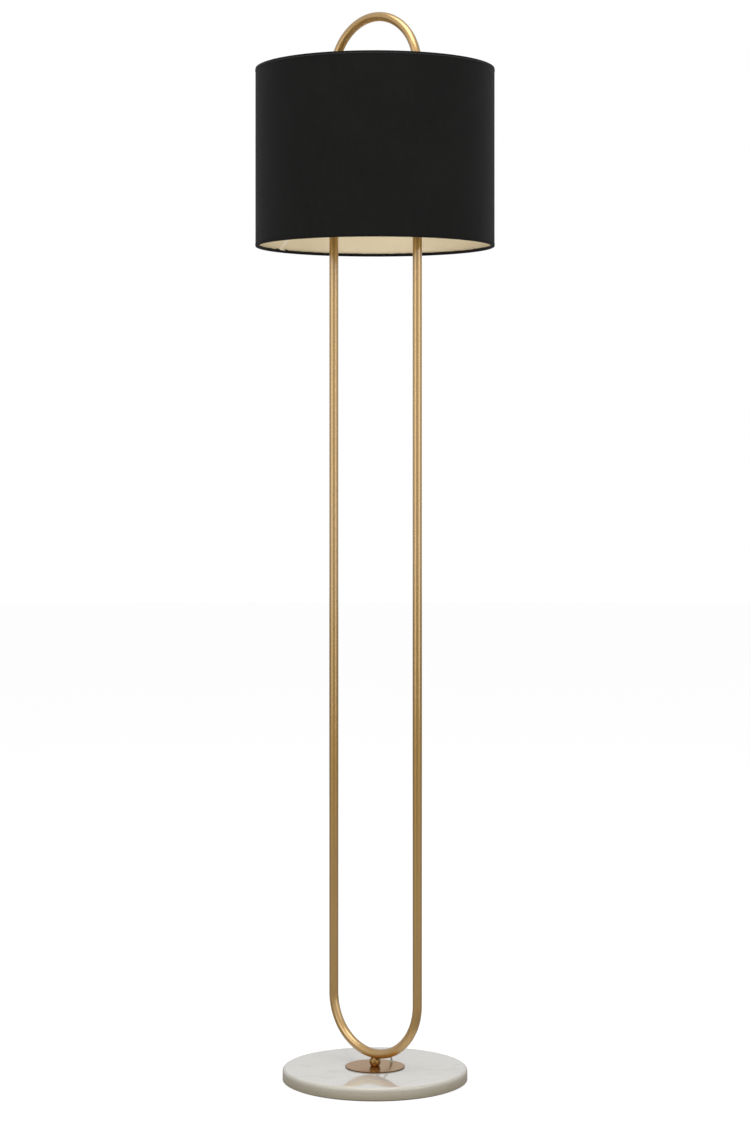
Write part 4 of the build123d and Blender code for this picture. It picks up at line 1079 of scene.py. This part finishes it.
tab_turn = math.radians(184.9)
tab_span = math.radians(3.3)
rolled_hem("top_roll", shade_top, -1, "top_hem")
rolled_hem("foot_roll", shade_foot, 1, "bottom_hem", (tab_turn - tab_span, tab_turn + tab_span))

# %% [markdown]
# The lining is one strip whose ends meet at the side.  A narrow tape of the same film covers the
# join: it comes down straight, drifts aside near the foot where the fitter ran out of wall, and
# ends in a wider tab that laps over the rolled hem.  Its line is a list of radius, height, angle
# and half width.
# %% Lay out the seam tape
tape_skin = 0.2 * mm
tape_half = 3.6 * mm
tab_half = 7.5 * mm
neck_half = tape_half * 1.1
tape_r = -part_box("lining_seam")[0].x - 0.12 * mm
tape_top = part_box("lining_seam")[1].z
straight_turn = math.radians(180.5)
drift_turn = tab_turn - straight_turn
drift_from = shade_foot + 19.0 * mm
tab_from = shade_foot + 6.6 * mm
bead_z = shade_foot + bead_r
straight_steps = 40
drift_steps = 16


def ease(share):
    """A soft start and a soft stop between 0 and 1."""
    share = min(1.0, max(0.0, share))
    return share * share * (3 - 2 * share)


tape_line = []
for k in range(straight_steps + 1):
    z = tape_top + (drift_from - tape_top) * k / straight_steps
    tape_line.append((tape_r, z, straight_turn, tape_half))
for k in range(1, drift_steps + 1):
    share = k / drift_steps
    z = drift_from + (tab_from - drift_from) * share
    turn = straight_turn + drift_turn * share ** 1.15
    tape_line.append((tape_r, z, turn, tape_half * (1 + 0.1 * share)))
tab_points = [(tape_r, tab_from - 0.6 * mm), (tape_r, tab_from - 1.2 * mm)]
tab_points += arc_points(ring_r, bead_z, bead_r + tape_skin, 52, 142, 10)
for step, (r, z) in enumerate(tab_points):
    half = neck_half + (tab_half - neck_half) * ease((step + 1) / 2)
    tape_line.append((r, z, straight_turn + drift_turn, half))
print("tape line:", len(tape_line), "places")

# %% [markdown]
# A strip of quads follows that line, with a slight lift here and there where the film isn't pressed
# down.  A Solidify modifier gives it the thickness of the tape.
# %% Tape the lining's seam
columns = 12
tape_lift = 0.10 * mm
tape_rows, tape_walk = [], [0.0]
for index, (r, z, turn, half) in enumerate(tape_line):
    row = []
    for c in range(columns + 1):
        aside = half * (2 * c / columns - 1) / r
        lifted = r + tape_lift * noise.noise(Vector((c * 0.5, 90 * z, 2.0)))
        row.append((lifted * math.cos(turn + aside), lifted * math.sin(turn + aside), z))
    tape_rows.append(row)
    if index:
        step = (Vector(row[columns // 2]) - Vector(tape_rows[-2][columns // 2])).length
        tape_walk.append(tape_walk[-1] + step)
seam_tape = from_grid(
    "seam_tape", tape_rows, lambda i: tape_walk[i], lambda j: 2 * tape_half * j / columns, seam_cream,
    closed_rings=False, closed_outline=False,
)
thick = seam_tape.modifiers.new("thickness", "SOLIDIFY")
thick.thickness = tape_skin
thick.offset = 0.0
set_for_good(seam_tape)
crease(seam_tape, 50.0)
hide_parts("lining_seam")
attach(seam_tape, "lamp")
print("seam tape:", round(tape_walk[-1], 3), "m long")

# %% [markdown]
# The lamp stands on a wide pale floor.  The camera sees it as plain white, while every other ray
# meets a duller floor, so that what it throws back on the metal and the stone isn't too bright.
# %% Lay the floor
floor_drop = 0.1 * mm
disc = bmesh.new()
bmesh.ops.create_circle(disc, cap_ends=True, segments=96, radius=14.0)
bmesh.ops.translate(disc, vec=(0, 0, -floor_drop), verts=disc.verts)
floor = tool_of("floor", disc)
floor_paint = bpy.data.materials.new("pale floor")
floor_paint.use_nodes = True
tree = floor_paint.node_tree
tree.nodes.clear()
seen = put(tree, "ShaderNodeLightPath").outputs["Is Camera Ray"]
lit = put(tree, "ShaderNodeBsdfDiffuse", {"Color": rgb(0.30, 0.30, 0.30)})
glow = put(tree, "ShaderNodeEmission", {"Color": rgb(1, 1, 1), "Strength": 0.86})
pale = put(tree, "ShaderNodeAddShader", {0: lit.outputs[0], 1: glow.outputs[0]})
dull = put(tree, "ShaderNodeBsdfDiffuse", {"Color": rgb(0.50, 0.47, 0.43)})
paint = put(tree, "ShaderNodeMixShader", {0: seen, 1: dull.outputs[0], 2: pale.outputs[0]})
put(tree, "ShaderNodeOutputMaterial", {"Surface": paint.outputs[0]})
floor.data.materials.append(floor_paint)
print("floor:", [round(v, 1) for v in floor.dimensions], "m")

# %% [markdown]
# Round it is a white surround.  The camera again sees plain white, but the metal and the stone
# reflect a softer, greyer room, darker behind than in front, so that their shapes read.
# %% Hang the surround
world = bpy.data.worlds.new("surround")
bpy.context.scene.world = world
world.use_nodes = True
tree = world.node_tree
tree.nodes.clear()
way = put(tree, "ShaderNodeTexCoord").outputs["Generated"]
front = put(tree, "ShaderNodeVectorMath", {0: way, 1: toward_eye}, operation="DOT_PRODUCT").outputs["Value"]
room = spread(tree, front, -1.0, 1.0, 0.62, 0.82)
rays = put(tree, "ShaderNodeLightPath").outputs
diffuse_level = 0.39
diffuse_choice = {0: rays["Is Diffuse Ray"], 2: room, 3: diffuse_level}
soft = put(tree, "ShaderNodeMix", diffuse_choice, data_type="FLOAT").outputs[0]
camera_choice = {0: rays["Is Camera Ray"], 2: soft, 3: 1.0}
strength = put(tree, "ShaderNodeMix", camera_choice, data_type="FLOAT").outputs[0]
surround = put(tree, "ShaderNodeBackground", {"Color": rgb(1, 1, 1), "Strength": strength})
put(tree, "ShaderNodeOutputWorld", {"Surface": surround.outputs[0]})
print("surround:", len(tree.nodes), "nodes")

# %% [markdown]
# Two tall banks left and right draw the long highlights on the tube, a large light overhead opens
# up the stone and the lining, and two fills that leave no reflection lift the back and the
# undersides.
# %% Set the lights
def soft_light(name, turn, distance, height, size, power, aim_z, in_gloss=True):
    """An area light this many degrees round from the camera, aimed at the lamp's axis."""
    data = bpy.data.lights.new(name, "AREA")
    data.shape = "RECTANGLE"
    data.size, data.size_y = size
    data.energy = power
    light = set_down(name, data)
    angle = eye_turn + math.radians(turn)
    light.location = (distance * math.sin(angle), -distance * math.cos(angle), height)
    aim = Vector((0, 0, aim_z)) - light.location
    light.rotation_euler = aim.to_track_quat("-Z", "Y").to_euler()
    light.visible_camera = False
    light.visible_glossy = in_gloss


bank = {"distance": 2.6, "height": 1.35, "size": (1.45, 2.1), "aim_z": 1.2}
soft_light("left_bank", -50, power=12.5, **bank)
soft_light("right_bank", 50, power=14.0, **bank)
soft_light("overhead", 0, distance=0.9, height=3.2, size=(2.0, 2.0), power=35.0, aim_z=0.6)
soft_light(
    "back_fill", 180, distance=3.0, height=2.3, size=(2.4, 1.6), power=16.0, aim_z=0.9,
    in_gloss=False,
)
soft_light(
    "floor_bounce", 0, distance=1.1, height=0.06, size=(2.2, 2.2), power=26.0, aim_z=1.4,
    in_gloss=False,
)
print("lights:", len(bpy.data.lights))
